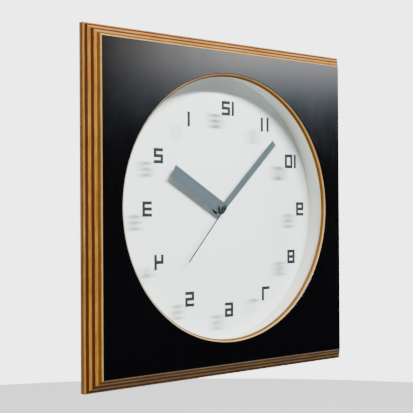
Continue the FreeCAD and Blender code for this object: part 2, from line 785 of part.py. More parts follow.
def third_wheel():
    """Wheel between the seconds pinion and the clutch gear."""
    large = wheel(THIRD_TEETH, THIRD_MODULE, THIRD_LEVEL, THIRD, THIRD_PHASE)
    small = pinion(THIRD_LEAVES, CLUTCH_MODULE, CLUTCH_LEVEL, THIRD, THIRD_PHASE)
    return fused([large, small, arbor(THIRD, PIVOT_FRONT, BRIDGE_REAR)])


def clutch_gear():
    """Gear that grips the minute arbor by friction, so the hands can be set."""
    gear_disc = wheel(CLUTCH_TEETH, CLUTCH_MODULE, CLUTCH_LEVEL, CENTRE, CLUTCH_PHASE)
    return gear_disc.cut(disc(MINUTE_TUBE_R + RUNNING, CLUTCH_LEVEL - GEAR_T, CLUTCH_LEVEL + GEAR_T))


def minute_arbor():
    """Tube that carries the minute hand, with the cannon pinion."""
    front = DIAL_DEPTH - MINUTE_RISE - HAND_T / 2
    rear = CLUTCH_LEVEL + PINION_T / 2
    leaves = pinion(CANNON_LEAVES, HANDS_MODULE, CANNON_LEVEL, CENTRE, CANNON_PHASE)
    return fused([leaves, disc(MINUTE_TUBE_R, front, rear)]).cut(disc(PIVOT_R + RUNNING, front, rear))


def motion_wheel():
    """Motion-work wheel and pinion between the minute arbor and the hour wheel."""
    large = wheel(MOTION_TEETH, HANDS_MODULE, CANNON_LEVEL, MOTION, MOTION_PHASE)
    small = pinion(MOTION_LEAVES, HOUR_MODULE, HOUR_LEVEL, MOTION, MOTION_PHASE)
    return fused([large, small, arbor(MOTION, PIVOT_FRONT, CANNON_LEVEL + GEAR_T / 2)])


def hour_wheel():
    """Hour wheel with the tube that carries the hour hand."""
    front = DIAL_DEPTH - HOUR_RISE - HAND_T / 2
    rear = HOUR_LEVEL + GEAR_T / 2
    large = wheel(HOUR_TEETH, HOUR_MODULE, HOUR_LEVEL, CENTRE, HOUR_PHASE)
    return fused([large, disc(HOUR_TUBE_R, front, rear)]).cut(disc(HOUR_BORE_R, front, rear))


def setting_knob():
    """Knob behind the cover, whose pinion turns the motion wheel."""
    leaves = pinion(SETTING_LEAVES, SETTING_MODULE, CANNON_LEVEL, SETTING, SETTING_PHASE)
    shaft = disc(SETTING_SHAFT_R, CANNON_LEVEL, KNOB_FRONT, SETTING)
    knob = disc(KNOB_R, KNOB_FRONT, KNOB_FRONT + KNOB_T, SETTING)
    groove_r = math.pi * KNOB_R / KNOB_GROOVES / 2
    for step in range(KNOB_GROOVES):
        at = offset(SETTING, KNOB_R + groove_r / 2, 360.0 * step / KNOB_GROOVES)
        knob = knob.cut(disc(groove_r, KNOB_FRONT, KNOB_FRONT + KNOB_T, at))
    return fused([leaves, arbor(SETTING, PIVOT_FRONT, CANNON_LEVEL), shaft, knob])


# ---- Motor and electronics ----------------------------------------------------------------

STATOR_FRONT = FLOOR_REAR + COIL_LEVEL
STATOR_REAR = STATOR_FRONT + STATOR_T
COIL_Z = ROTOR[1] + STATOR_HALF_H + COIL_GAP + COIL_R
COIL_HALF_L = STATOR_HALF_L - STATOR_LEG - COIL_GAP


def stator():
    """Soft iron plate around the rotor, with legs to the coil's core."""
    height = 2 * STATOR_HALF_H
    plate = block(2 * STATOR_HALF_L, height, STATOR_FRONT, STATOR_REAR, ROTOR)
    leg_top = COIL_Z + COIL_CORE_W / 2
    legs = []
    for side in (-1, 1):
        x = ROTOR[0] + side * (STATOR_HALF_L - STATOR_LEG / 2)
        bottom = ROTOR[1] - STATOR_HALF_H
        middle = (x, (leg_top + bottom) / 2)
        legs.append(block(STATOR_LEG, leg_top - bottom, STATOR_FRONT, STATOR_REAR, middle))
    core = block(2 * STATOR_HALF_L, COIL_CORE_W, STATOR_FRONT, STATOR_REAR, (ROTOR[0], COIL_Z))
    body = fused([plate, core] + legs)
    return body.cut(disc(MAGNET_R + MAGNET_GAP, STATOR_FRONT, STATOR_REAR, ROTOR))


def along_x(radius, left, right, depth, z):
    """A cylinder across the clock."""
    return Part.makeCylinder(radius, right - left, V(left, depth, z), V(1, 0, 0))


def coil_bobbin():
    """Former of the coil, with two cheeks, around the stator's core."""
    depth = (STATOR_FRONT + STATOR_REAR) / 2
    left = ROTOR[0] - COIL_HALF_L
    right = ROTOR[0] + COIL_HALF_L
    tube_r = COIL_CORE_W / 2 + BOBBIN_FLANGE / 2
    body = fused(
        [
            along_x(tube_r, left, right, depth, COIL_Z),
            along_x(COIL_R, left, left + BOBBIN_FLANGE, depth, COIL_Z),
            along_x(COIL_R, right - BOBBIN_FLANGE, right, depth, COIL_Z),
        ]
    )
    return body.cut(block(2 * STATOR_HALF_L, COIL_CORE_W, STATOR_FRONT, STATOR_REAR, (ROTOR[0], COIL_Z)))


def coil_winding():
    """Copper winding between the bobbin's cheeks."""
    depth = (STATOR_FRONT + STATOR_REAR) / 2
    left = ROTOR[0] - COIL_HALF_L + BOBBIN_FLANGE
    right = ROTOR[0] + COIL_HALF_L - BOBBIN_FLANGE
    tube_r = COIL_CORE_W / 2 + BOBBIN_FLANGE / 2
    outer = along_x(COIL_R - COIL_GAP, left, right, depth, COIL_Z)
    return outer.cut(along_x(tube_r, left, right, depth, COIL_Z))


BOARD_AT = (CASE_HALF - BAY_GAP - BOARD_W / 2, CASE_HALF - BAY_GAP - BOARD_H / 2)
BOARD_FRONT = FLOOR_REAR + BOARD_LIFT
BOARD_BACK = BOARD_FRONT + BOARD_T


def circuit_board():
    """Small circuit board near the case floor, on two ribs of its own."""
    board = block(BOARD_W, BOARD_H, BOARD_FRONT, BOARD_BACK, BOARD_AT)
    ribs = []
    for side in (-1, 1):
        at = (BOARD_AT[0] + side * (BOARD_W / 2 - MOVEMENT_WALL), BOARD_AT[1])
        ribs.append(block(MOVEMENT_WALL, BOARD_H / 2, FLOOR_REAR, BOARD_FRONT, at))
    return fused([board] + ribs)


def control_chip():
    """Potted chip on the circuit board."""
    at = (BOARD_AT[0] - COMPONENT_SHIFT, BOARD_AT[1])
    blob = disc(CHIP_R, BOARD_BACK, BOARD_BACK + CHIP_T, at)
    return blob.makeFillet(CHIP_T / 2, [blob.Edges[0]])


def quartz_crystal():
    """Small can that holds the tuning fork, lying on the circuit board."""
    left = BOARD_AT[0] + COMPONENT_SHIFT - CRYSTAL_L / 2
    return along_x(CRYSTAL_R, left, left + CRYSTAL_L, BOARD_BACK + CRYSTAL_R, BOARD_AT[1])


def battery():
    """AA cell with its positive nub at the left."""
    depth = FLOOR_REAR + BATTERY_R
    left = -BATTERY_L / 2
    body = along_x(BATTERY_R, left + NUB_L, -left, depth, BATTERY_Z)
    return fused([body, along_x(NUB_R, left, left + NUB_L, depth, BATTERY_Z)])


def battery_contact(side):
    """Plate against the end of the bay, with a pressed dimple that touches the cell."""
    depth = FLOOR_REAR + BATTERY_R
    plate_x = side * (CASE_HALF - CONTACT_T / 2)
    front = depth - CONTACT_W / 2
    plate = block(CONTACT_T, CONTACT_W, front, front + CONTACT_W, (plate_x, BATTERY_Z))
    inner = CASE_HALF - CONTACT_T
    ends = sorted((side * inner, side * BATTERY_L / 2))
    return fused([plate, along_x(NUB_R / 2, ends[0], ends[1], depth, BATTERY_Z)])


def battery_contact_plus():
    """Positive contact."""
    return battery_contact(-1)


def battery_contact_minus():
    """Negative contact."""
    return battery_contact(1)


NODES = (
    frame_board,
    face_laminate,
    cover_glass,
    glass_gasket,
    numerals,
    dial_cup,
    dial_plate,
    cup_screws,
    dial_screws,
    top_batten,
    bottom_batten,
    batten_screws,
    hanger_plate,
    hanger_screws,
    wall_pads,
    movement_case,
    movement_cover,
    movement_washer,
    nut_washer,
    centre_nut,
    train_bridge,
    bridge_screws,
    battery,
    battery_contact_plus,
    battery_contact_minus,
    circuit_board,
    control_chip,
    quartz_crystal,
    stator,
    coil_bobbin,
    coil_winding,
    rotor_magnet,
    rotor_pinion,
    intermediate_wheel,
    seconds_wheel,
    second_hand,
    third_wheel,
    clutch_gear,
    minute_arbor,
    minute_hand,
    motion_wheel,
    hour_wheel,
    hour_hand,
    setting_knob,
)

os.makedirs("parts", exist_ok=True)
for build in NODES:
    write_node(build.__name__, build())
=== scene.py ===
"""Looks of a square plywood wall clock that runs anticlockwise, built around its CAD frame."""

import logging
import math
from dataclasses import dataclass
from enum import Enum
from typing import Sequence

import bmesh
import bpy
from mathutils import Matrix, Vector


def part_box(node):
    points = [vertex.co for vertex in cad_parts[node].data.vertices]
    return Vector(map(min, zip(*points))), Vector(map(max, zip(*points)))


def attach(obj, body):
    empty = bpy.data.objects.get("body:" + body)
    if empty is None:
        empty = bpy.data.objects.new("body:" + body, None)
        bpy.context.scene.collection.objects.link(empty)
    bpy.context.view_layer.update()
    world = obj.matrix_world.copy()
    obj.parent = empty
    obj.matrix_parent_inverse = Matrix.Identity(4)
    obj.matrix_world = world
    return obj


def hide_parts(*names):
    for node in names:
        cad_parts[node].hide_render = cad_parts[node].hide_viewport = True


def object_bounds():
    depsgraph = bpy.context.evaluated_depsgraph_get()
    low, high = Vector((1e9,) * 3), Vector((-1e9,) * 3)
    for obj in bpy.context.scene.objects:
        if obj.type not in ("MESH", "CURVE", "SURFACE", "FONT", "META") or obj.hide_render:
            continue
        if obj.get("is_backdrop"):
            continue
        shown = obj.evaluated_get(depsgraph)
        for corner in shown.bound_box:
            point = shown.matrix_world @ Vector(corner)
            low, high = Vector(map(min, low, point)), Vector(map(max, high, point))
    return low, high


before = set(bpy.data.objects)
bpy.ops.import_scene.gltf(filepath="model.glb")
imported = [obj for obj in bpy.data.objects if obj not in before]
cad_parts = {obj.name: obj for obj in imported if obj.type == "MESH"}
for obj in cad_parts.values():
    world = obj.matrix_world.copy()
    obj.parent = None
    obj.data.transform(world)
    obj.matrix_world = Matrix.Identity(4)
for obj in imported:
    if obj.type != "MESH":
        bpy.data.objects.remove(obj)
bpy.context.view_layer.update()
LOG = logging.getLogger("clock")

MM = 0.001
MERGE = 1e-7
SHARP = math.radians(30.0)
FLAT = math.radians(1.0)
SCREW_BORE = 0.9 * MM
OPENING = 135.7 * MM
FULL_TURN = 2.0 * math.pi
Colour = tuple[float, float, float]
Outline = Sequence[tuple[float, float]]


class Form(Enum):
    """Shape of a loop around the dial's axis."""

    SQUARE = "square"
    ROUND = "round"


class Axis(Enum):
    """Direction that a turned piece runs in."""

    ACROSS = (1.0, 0.0, 0.0)
    DEPTH = (0.0, 1.0, 0.0)


def shaded(colour: Colour, share: float) -> Colour:
    """A share of a colour."""
    return tuple(part * share for part in colour)


# ---- Shader graph -------------------------------------------------------------------------


class Value:
    """A number or vector socket that takes part in Python expressions."""

    def __init__(self, graph: "Graph", socket: bpy.types.NodeSocket) -> None:
        """Wraps a graph's output socket."""
        self.graph = graph
        self.socket = socket

    def math(self, operation: str, *others: "Value | float", swap: bool = False) -> "Value":
        """Adds a Math node.

        Args:
            operation: The Math node's operation.
            others: Its further operands.
            swap: Puts this value after the first of the others.

        Returns:
            The node's result.
        """
        operands = [self, *others]
        if swap:
            operands[0], operands[1] = operands[1], operands[0]
        inputs = dict(enumerate(operands))
        return self.graph.value("ShaderNodeMath", {"operation": operation}, inputs)

    def __add__(self, other: "Value | float") -> "Value":
        """Sum."""
        return self.math("ADD", other)

    def __sub__(self, other: "Value | float") -> "Value":
        """Difference."""
        return self.math("SUBTRACT", other)

    def __rsub__(self, other: "Value | float") -> "Value":
        """Difference with the number first."""
        return self.math("SUBTRACT", other, swap=True)

    def __mul__(self, other: "Value | float") -> "Value":
        """Product."""
        return self.math("MULTIPLY", other)

    def __pow__(self, other: "Value | float") -> "Value":
        """Power."""
        return self.math("POWER", other)

    __radd__ = __add__
    __rmul__ = __mul__

    def step(self, low: float, high: float) -> "Value":
        """A smooth step from 0 at low to 1 at high."""
        limits = {"Value": self, "From Min": low, "From Max": high}
        return self.graph.value("ShaderNodeMapRange", {"interpolation_type": "SMOOTHSTEP"}, limits)


class Graph:
    """The nodes of one material or world."""

    def __init__(self, tree: bpy.types.NodeTree) -> None:
        """Clears a tree and starts a graph in it."""
        self.tree = tree
        tree.nodes.clear()

    def node(
        self, kind: str, settings: dict | None = None, inputs: dict | None = None
    ) -> bpy.types.Node:
        """Adds a node of any type.

        Args:
            kind: The node's type.
            settings: Its properties; "stops" holds a ramp's (place, colour) pairs.
            inputs: Values or links by socket name or number.

        Returns:
            The new node.
        """
        node = self.tree.nodes.new(kind)
        for name, setting in (settings or {}).items():
            if name == "stops":
                self._set_stops(node.color_ramp, setting)
            else:
                setattr(node, name, setting)
        for key, given in (inputs or {}).items():
            socket = node.inputs[key]
            if isinstance(given, Value):
                self.tree.links.new(given.socket, socket)
            else:
                socket.default_value = given
        return node

    def value(
        self,
        kind: str,
        settings: dict | None = None,
        inputs: dict | None = None,
        output: int | str = 0,
    ) -> Value:
        """Adds a node and returns one of its outputs, by name or number."""
        return Value(self, self.node(kind, settings, inputs).outputs[output])

    @staticmethod
    def _set_stops(ramp: bpy.types.ColorRamp, stops: Sequence[tuple[float, Colour]]) -> None:
        """Gives a colour ramp its stops.

        Args:
            ramp: The ramp.
            stops: Place and colour of each stop, in order.
        """
        while len(ramp.elements) < len(stops):
            ramp.elements.new(1.0)
        for element, (place, _) in zip(ramp.elements, stops):
            element.position = place
        for element, (_, colour) in zip(ramp.elements, stops):
            element.color = (*colour, 1.0)

    def place(
        self, scale: Sequence[float] = (1.0, 1.0, 1.0), shift: Sequence[float] = (0.0, 0.0, 0.0)
    ) -> Value:
        """Object coordinates in millimetres, moved and then scaled.

        Args:
            scale: Factor along each axis.
            shift: Shift in metres, before scaling.

        Returns:
            The vector.
        """
        coordinates = self.value("ShaderNodeTexCoord", output="Object")
        moved = self.value("ShaderNodeVectorMath", {"operation": "ADD"}, {0: coordinates, 1: tuple(shift)})
        return self.stretch(moved, tuple(part / MM for part in scale))

    def stretch(self, vector: Value, factors: Sequence[float]) -> Value:
        """A vector scaled along each axis."""
        return self.value("ShaderNodeVectorMath", {"operation": "MULTIPLY"}, {0: vector, 1: factors})

    def parts(self, vector: Value) -> tuple[Value, Value, Value]:
        """The three parts of a vector."""
        node = self.node("ShaderNodeSeparateXYZ", inputs={0: vector})
        return tuple(Value(self, output) for output in node.outputs)

    def noise(self, vector: Value, scale: float, detail: float = 2.0, rough: float = 0.5) -> Value:
        """Fractal noise from 0 to 1, with a count of octaves and the strength of the finer ones."""
        inputs = {"Vector": vector, "Scale": scale, "Detail": detail, "Roughness": rough}
        return self.value("ShaderNodeTexNoise", inputs=inputs)

    def grey(self, value: Value) -> Value:
        """A number as a colour."""
        return self.value("ShaderNodeCombineXYZ", inputs={0: value, 1: value, 2: value})

    def facing(self) -> tuple[Value, Value, Value]:
        """The three parts of the surface's direction."""
        return self.parts(self.value("ShaderNodeTexCoord", output="Normal"))

    def mix(self, factor: Value | float, first: Value | Colour, second: Value | Colour) -> Value:
        """Mixes two colours.

        Args:
            factor: Share of the second.
            first: First colour.
            second: Second colour.

        Returns:
            The mixed colour.
        """
        sides = [given if isinstance(given, Value) else (*given, 1.0) for given in (first, second)]
        inputs = {0: factor, 6: sides[0], 7: sides[1]}
        return self.value("ShaderNodeMix", {"data_type": "RGBA"}, inputs, output=2)

    def ramp(
        self, factor: Value, stops: Sequence[tuple[float, Colour]], interpolation: str = "LINEAR"
    ) -> Value:
        """A colour ramp.

        Args:
            factor: Place on the ramp.
            stops: Place and colour of each stop.
            interpolation: How it passes between stops.

        Returns:
            The colour.
        """
        node = self.node("ShaderNodeValToRGB", {"stops": stops}, {0: factor})
        node.color_ramp.interpolation = interpolation
        return Value(self, node.outputs[0])

    def bump(self, height: Value, depth: float) -> Value:
        """A normal bumped by a height from 0 to 1, whose full depth is in metres."""
        return self.value("ShaderNodeBump", inputs={"Height": height, "Distance": depth}, output="Normal")


# ---- Finishes -----------------------------------------------------------------------------


@dataclass(frozen=True)
class Finish:
    """A surface finish; each kind says how its nodes are laid."""

    name: str
    colour: Colour
    roughness: float = 0.5
    metallic: float = 0.0
    specular: float = 0.5

    def material(self) -> bpy.types.Material:
        """The finish's material, made once.

        Returns:
            The material.
        """
        known = bpy.data.materials.get(self.name)
        if known is not None:
            return known
        made = bpy.data.materials.new(self.name)
        made.use_nodes = True
        graph = Graph(made.node_tree)
        shader = self.shade(graph)
        output = graph.node("ShaderNodeOutputMaterial")
        graph.tree.links.new(shader, output.inputs["Surface"])
        return made

    def shade(self, graph: Graph) -> bpy.types.NodeSocket:
        """Lays the nodes of a plain Principled surface.

        Args:
            graph: The material's graph.

        Returns:
            The shader's output socket.
        """
        inputs = {
            "Base Color": (*self.colour, 1.0),
            "Roughness": self.roughness,
            "Metallic": self.metallic,
            "Specular IOR Level": self.specular,
        }
        inputs.update(self.vary(graph))
        return graph.node("ShaderNodeBsdfPrincipled", inputs=inputs).outputs[0]

    def vary(self, graph: Graph) -> dict:
        """What changes over the surface, as shader inputs by name."""
        return {}


@dataclass(frozen=True)
class Ply:
    """One ply: thickness in millimetres, colour, and whether its grain is cut across."""

    thickness: float
    colour: Colour
    crossed: bool


@dataclass(frozen=True)
class Plywood(Finish):
    """Cut plywood: plies by depth, each with its own tone, grain and wander, and a veneered back."""

    front: float = 0.0
    plies: tuple[Ply, ...] = ()
    wander: float = 0.2
    seam: float = 0.12
    burn: Colour = (0.02, 0.005, 0.001)

    def stops(self, total: float) -> list[tuple[float, Colour]]:
        """Ramp stops with a short blend between plies.

        Args:
            total: Depth that the ramp spans, in millimetres.

        Returns:
            The stops.
        """
        stops: list[tuple[float, Colour]] = []
        depth = 0.0
        for ply in self.plies:
            stops.append(((depth + self.seam) / total, ply.colour))
            depth += ply.thickness
            stops.append(((depth - self.seam) / total, ply.colour))
        return stops

    def crossings(self, total: float) -> list[tuple[float, Colour]]:
        """Ramp stops that are white where a ply's grain is cut across.

        Args:
            total: Depth that the ramp spans, in millimetres.

        Returns:
            The stops.
        """
        stops: list[tuple[float, Colour]] = []
        depth = 0.0
        for ply in self.plies:
            stops.append((depth / total, (float(ply.crossed),) * 3))
            depth += ply.thickness
        return stops

    def vary(self, graph: Graph) -> dict:
        """Ply colours, grain streaks, pores and relief.

        Args:
            graph: The material's graph.

        Returns:
            Shader inputs by name.
        """
        total = sum(ply.thickness for ply in self.plies)
        place = graph.place(shift=(0.0, -self.front, 0.0))
        depth = graph.parts(place)[1]
        slow = graph.noise(place, 0.02, 2.0)
        quick = graph.noise(place, 0.13, 2.0)
        share = (depth + (slow - 0.5) * (2.4 * self.wander) + (quick - 0.5) * self.wander) * (1.0 / total)
        tone = graph.ramp(share, self.stops(total))
        crossed = graph.parts(graph.ramp(share, self.crossings(total), "CONSTANT"))[0]
        long_grain = graph.noise(graph.place((0.035, 2.2, 0.035)), 1.0, 4.0, 0.6)
        end_grain = graph.noise(graph.place((1.1, 2.0, 1.1)), 0.8, 4.0, 0.65)
        grain = graph.parts(graph.mix(crossed, graph.grey(long_grain), graph.grey(end_grain)))[0]
        dark = (1.0 - grain.step(0.38, 0.6)) * 0.5
        patches = graph.noise(place, 0.04, 3.0, 0.6).step(0.42, 0.72)
        pores = graph.noise(graph.place(), 3.2, 3.0, 0.7).step(0.56, 0.78)
        wood = graph.mix(dark, tone, self.burn)
        wood = graph.mix(patches * 0.22, wood, self.burn)
        wood = graph.mix(pores * 0.3, wood, self.burn)
        back = graph.facing()[1].step(0.8, 0.9)
        return {
            "Base Color": graph.mix(back, wood, self.veneer(graph)),
            "Roughness": grain * 0.2 + (self.roughness - 0.1),
            "Normal": graph.bump(grain * 0.7 + pores * 0.3, 0.1 * MM),
        }

    def veneer(self, graph: Graph) -> Value:
        """The back's veneer, with long figure and fine pores across the clock.

        Args:
            graph: The material's graph.

        Returns:
            Its colour.
        """
        figure = graph.noise(graph.place((0.1, 1.0, 1.0)), 0.075, 4.0, 0.6)
        rings = (figure * 46.0).math("SINE") * 0.5 + 0.5
        pores = graph.noise(graph.place((0.06, 1.0, 1.6)), 1.6, 3.0, 0.6).step(0.54, 0.72)
        light = graph.mix(rings * 0.5, self.colour, shaded(self.colour, 0.62))
        return graph.mix(pores * 0.35, light, shaded(self.colour, 0.35))


@dataclass(frozen=True)
class Pine(Finish):
    """Planed softwood with its grain along a strip."""

    late: Colour = (0.36, 0.16, 0.05)

    def vary(self, graph: Graph) -> dict:
        """Growth lines, fine streaks, a few knots and planed ripples.

        Args:
            graph: The material's graph.

        Returns:
            Shader inputs by name.
        """
        knots = graph.noise(graph.place((0.35, 1.0, 1.0)), 0.04, 1.0)
        bend = graph.noise(graph.place((0.06, 1.0, 1.0)), 0.09, 3.0)
        up = graph.parts(graph.place())[2]
        rings = ((up * 1.5 + bend * 24.0 + knots.step(0.66, 0.8) * 9.0).math("SINE") * 0.5 + 0.5) ** 1.7
        streaks = graph.noise(graph.place((0.04, 1.2, 1.2)), 1.8, 4.0, 0.6)
        knot = knots.step(0.74, 0.8)
        wood = graph.mix(rings * 0.5 + streaks * 0.2, self.colour, self.late)
        return {
            "Base Color": graph.mix(knot * 0.7, wood, shaded(self.late, 0.4)),
            "Roughness": streaks * 0.2 + (self.roughness - 0.1),
            "Normal": graph.bump(rings * 0.4 + streaks * 0.6, 0.08 * MM),
        }


@dataclass(frozen=True)
class Moulded(Finish):
    """Moulded or coated surface with fine texture and uneven gloss."""

    grain: float = 2.0
    relief: float = 0.01
    mottle: float = 0.08

    def vary(self, graph: Graph) -> dict:
        """Faint mottling, gloss changes and fine texture.

        Args:
            graph: The material's graph.

        Returns:
            Shader inputs by name.
        """
        broad = graph.noise(graph.place(), 0.05, 3.0)
        fine = graph.noise(graph.place(), self.grain, 3.0, 0.6)
        darker = shaded(self.colour, 1.0 - 3.0 * self.mottle)
        mottle = broad.step(0.3, 0.75) * self.mottle + fine * (self.mottle / 2)
        return {
            "Base Color": graph.mix(mottle, self.colour, darker),
            "Roughness": (broad - 0.5) * 0.12 + (fine - 0.5) * 0.1 + self.roughness,
            "Normal": graph.bump(fine, self.relief * MM),
        }


@dataclass(frozen=True)
class Laminate(Finish):
    """Black decorative laminate with a soft gloss and faint hand marks, and a pale core where it is cut."""

    core: Colour = (0.34, 0.19, 0.06)
    front: float = 0.0
    skin: float = 0.45

    def vary(self, graph: Graph) -> dict:
        """Smears in the gloss, a faint orange peel, dust, and the core where the sheet is cut.

        Args:
            graph: The material's graph.

        Returns:
            Shader inputs by name.
        """
        depth = graph.parts(graph.place(shift=(0.0, -self.front, 0.0)))[1]
        smears = graph.noise(graph.place((1.0, 1.0, 0.55)), 0.035, 4.0, 0.55).step(0.35, 0.8)
        peel = graph.noise(graph.place(), 0.55, 2.0)
        dust = graph.noise(graph.place(), 2.4, 2.0).step(0.72, 0.82)
        cut = (graph.facing()[1] + 1.0).step(0.1, 0.2) * depth.step(self.skin - 0.05, self.skin + 0.05)
        streaks = graph.noise(graph.place((0.08, 1.0, 0.08)), 1.2, 3.0)
        core = graph.mix(streaks.step(0.35, 0.7) * 0.35, self.core, shaded(self.core, 0.55))
        black = graph.mix(dust * 0.25, self.colour, (0.05, 0.052, 0.055))
        return {
            "Base Color": graph.mix(cut, black, core),
            "Roughness": smears * 0.05 + (peel - 0.5) * 0.03 + self.roughness + cut * 0.4,
            "Normal": graph.bump(peel, 0.002 * MM),
        }


@dataclass(frozen=True)
class Metal(Finish):
    """Bare or plated metal with fine drawn lines."""

    stretch: Colour = (0.05, 1.0, 1.0)
    lines: float = 2.0
    relief: float = 0.004

    def vary(self, graph: Graph) -> dict:
        """Drawn lines, tarnish and gloss changes.

        Args:
            graph: The material's graph.

        Returns:
            Shader inputs by name.
        """
        drawn = graph.noise(graph.place(self.stretch), self.lines, 4.0, 0.65)
        tarnish = graph.noise(graph.place(), 0.12, 3.0).step(0.4, 0.8)
        darker = shaded(self.colour, 0.62)
        return {
            "Base Color": graph.mix(tarnish * 0.35 + drawn * 0.25, self.colour, darker),
            "Roughness": drawn * 0.22 + tarnish * 0.1 + (self.roughness - 0.1),
            "Normal": graph.bump(drawn, self.relief * MM),
        }


@dataclass(frozen=True)
class Felt(Finish):
    """Pressed felt with matted fibres."""

    def vary(self, graph: Graph) -> dict:
        """Fibres that run every way, and their shade.

        Args:
            graph: The material's graph.

        Returns:
            Shader inputs by name.
        """
        fibres = graph.noise(graph.place((1.0, 1.0, 0.3)), 4.0, 5.0, 0.75)
        tangled = graph.noise(graph.place((0.3, 1.0, 1.0)), 3.0, 5.0, 0.75)
        matted = fibres.math("MAXIMUM", tangled)
        pale = tuple(min(1.0, part * 2.6 + 0.02) for part in self.colour)
        return {
            "Base Color": graph.mix(matted.step(0.4, 0.75), self.colour, pale),
            "Roughness": matted * 0.1 + (self.roughness - 0.05),
            "Normal": graph.bump(matted, 0.25 * MM),
        }


@dataclass(frozen=True)
class Sleeve(Finish):
    """Printed film around a cell: a dark body, a coloured shoulder and a bare metal end."""

    shoulder: Colour = (0.75, 0.33, 0.06)
    left: float = 0.0
    length: float = 1.0

    def vary(self, graph: Graph) -> dict:
        """Bands along the cell, scuffs and the film's overlap.

        Args:
            graph: The material's graph.

        Returns:
            Shader inputs by name.
        """
        along = (graph.parts(graph.place(shift=(-self.left, 0.0, 0.0)))[0]) * (MM / self.length)
        shoulder = 1.0 - along.step(0.285, 0.29)
        line = along.step(0.3, 0.303) - along.step(0.315, 0.318)
        end = (1.0 - along.step(0.024, 0.028)) + along.step(0.985, 0.988)
        scuffs = graph.noise(graph.place((0.1, 1.0, 1.0)), 0.9, 4.0, 0.6).step(0.55, 0.8)
        wrap = graph.mix(shoulder, self.colour, self.shoulder)
        wrap = graph.mix(line * 0.8, wrap, self.shoulder)
        wrap = graph.mix(scuffs * 0.12, wrap, (0.3, 0.3, 0.3))
        return {
            "Base Color": graph.mix(end, wrap, (0.62, 0.62, 0.6)),
            "Metallic": end,
            "Roughness": scuffs * 0.15 + self.roughness,
            "Normal": graph.bump(scuffs, 0.01 * MM),
        }


@dataclass(frozen=True)
class Printed(Finish):
    """Circuit board: solder mask over copper tracks, and bare pads."""

    track: float = 0.42

    def vary(self, graph: Graph) -> dict:
        """Tracks, pads and the mask's thickness over them.

        Args:
            graph: The material's graph.

        Returns:
            Shader inputs by name.
        """
        settings = {"distance": "CHEBYCHEV", "feature": "F1"}
        inputs = {"Vector": graph.place(), "Scale": self.track, "Randomness": 0.75}
        cells = graph.value("ShaderNodeTexVoronoi", settings, inputs, output="Distance")
        tracks = cells.step(0.28, 0.32) - cells.step(0.4, 0.44)
        pads = 1.0 - cells.step(0.13, 0.16)
        fine = graph.noise(graph.place(), 3.0, 2.0)
        mask = graph.mix(tracks * 0.6 + fine * 0.1, self.colour, shaded(self.colour, 2.2))
        return {
            "Base Color": graph.mix(pads, mask, (0.72, 0.68, 0.6)),
            "Metallic": pads,
            "Roughness": fine * 0.1 + self.roughness,
            "Normal": graph.bump(tracks + pads, 0.03 * MM),
        }


@dataclass(frozen=True)
class Enamel(Finish):
    """Enamelled wire laid in close turns."""

    pitch: float = 0.2

    def vary(self, graph: Graph) -> dict:
        """Turns side by side, with painted shade in the gaps between them.

        Args:
            graph: The material's graph.

        Returns:
            Shader inputs by name.
        """
        along = graph.parts(graph.place())[0]
        lean = graph.noise(graph.place(), 0.4, 1.0)
        turns = ((along * (FULL_TURN / self.pitch) + lean * 5.0).math("SINE") * 0.5 + 0.5) ** 0.6
        # The base colour darkened in the gaps between turns is painted shade; the same ridges also set the
        # roughness and the bump.
        return {
            "Base Color": graph.mix(turns, shaded(self.colour, 0.3), self.colour),
            "Roughness": (1.0 - turns) * 0.25 + self.roughness,
            "Normal": graph.bump(turns, 0.06 * MM),
        }


@dataclass(frozen=True)
class Pane(Finish):
    """Clear flat glass that mirrors more at a shallow angle."""

    ior: float = 1.45
    shine: float = 0.12
    tint: Colour = (0.985, 0.995, 0.99)

    def shade(self, graph: Graph) -> bpy.types.NodeSocket:
        """Mixes what is behind with a mirror by Fresnel's law.

        Args:
            graph: The material's graph.

        Returns:
            The shader's output socket.
        """
        smears = graph.noise(graph.place(), 0.03, 3.0)
        mirror = graph.node(
            "ShaderNodeBsdfGlossy",
            inputs={"Color": (1.0, 1.0, 1.0, 1.0), "Roughness": self.roughness},
        )
        through = graph.node("ShaderNodeBsdfTransparent", inputs={"Color": (*self.tint, 1.0)})
        fresnel = graph.value("ShaderNodeFresnel", inputs={"IOR": self.ior})
        share = fresnel * (smears * 0.1 + 1.0) * self.shine
        mixed = graph.node("ShaderNodeMixShader", inputs={0: share})
        graph.tree.links.new(through.outputs[0], mixed.inputs[1])
        graph.tree.links.new(mirror.outputs[0], mixed.inputs[2])
        return mixed.outputs[0]


# ---- Mesh tools ---------------------------------------------------------------------------


@dataclass(frozen=True)
class Station:
    """One loop of a ring: half its side or its radius, and its place along Y."""

    size: float
    depth: float
    form: Form = Form.SQUARE


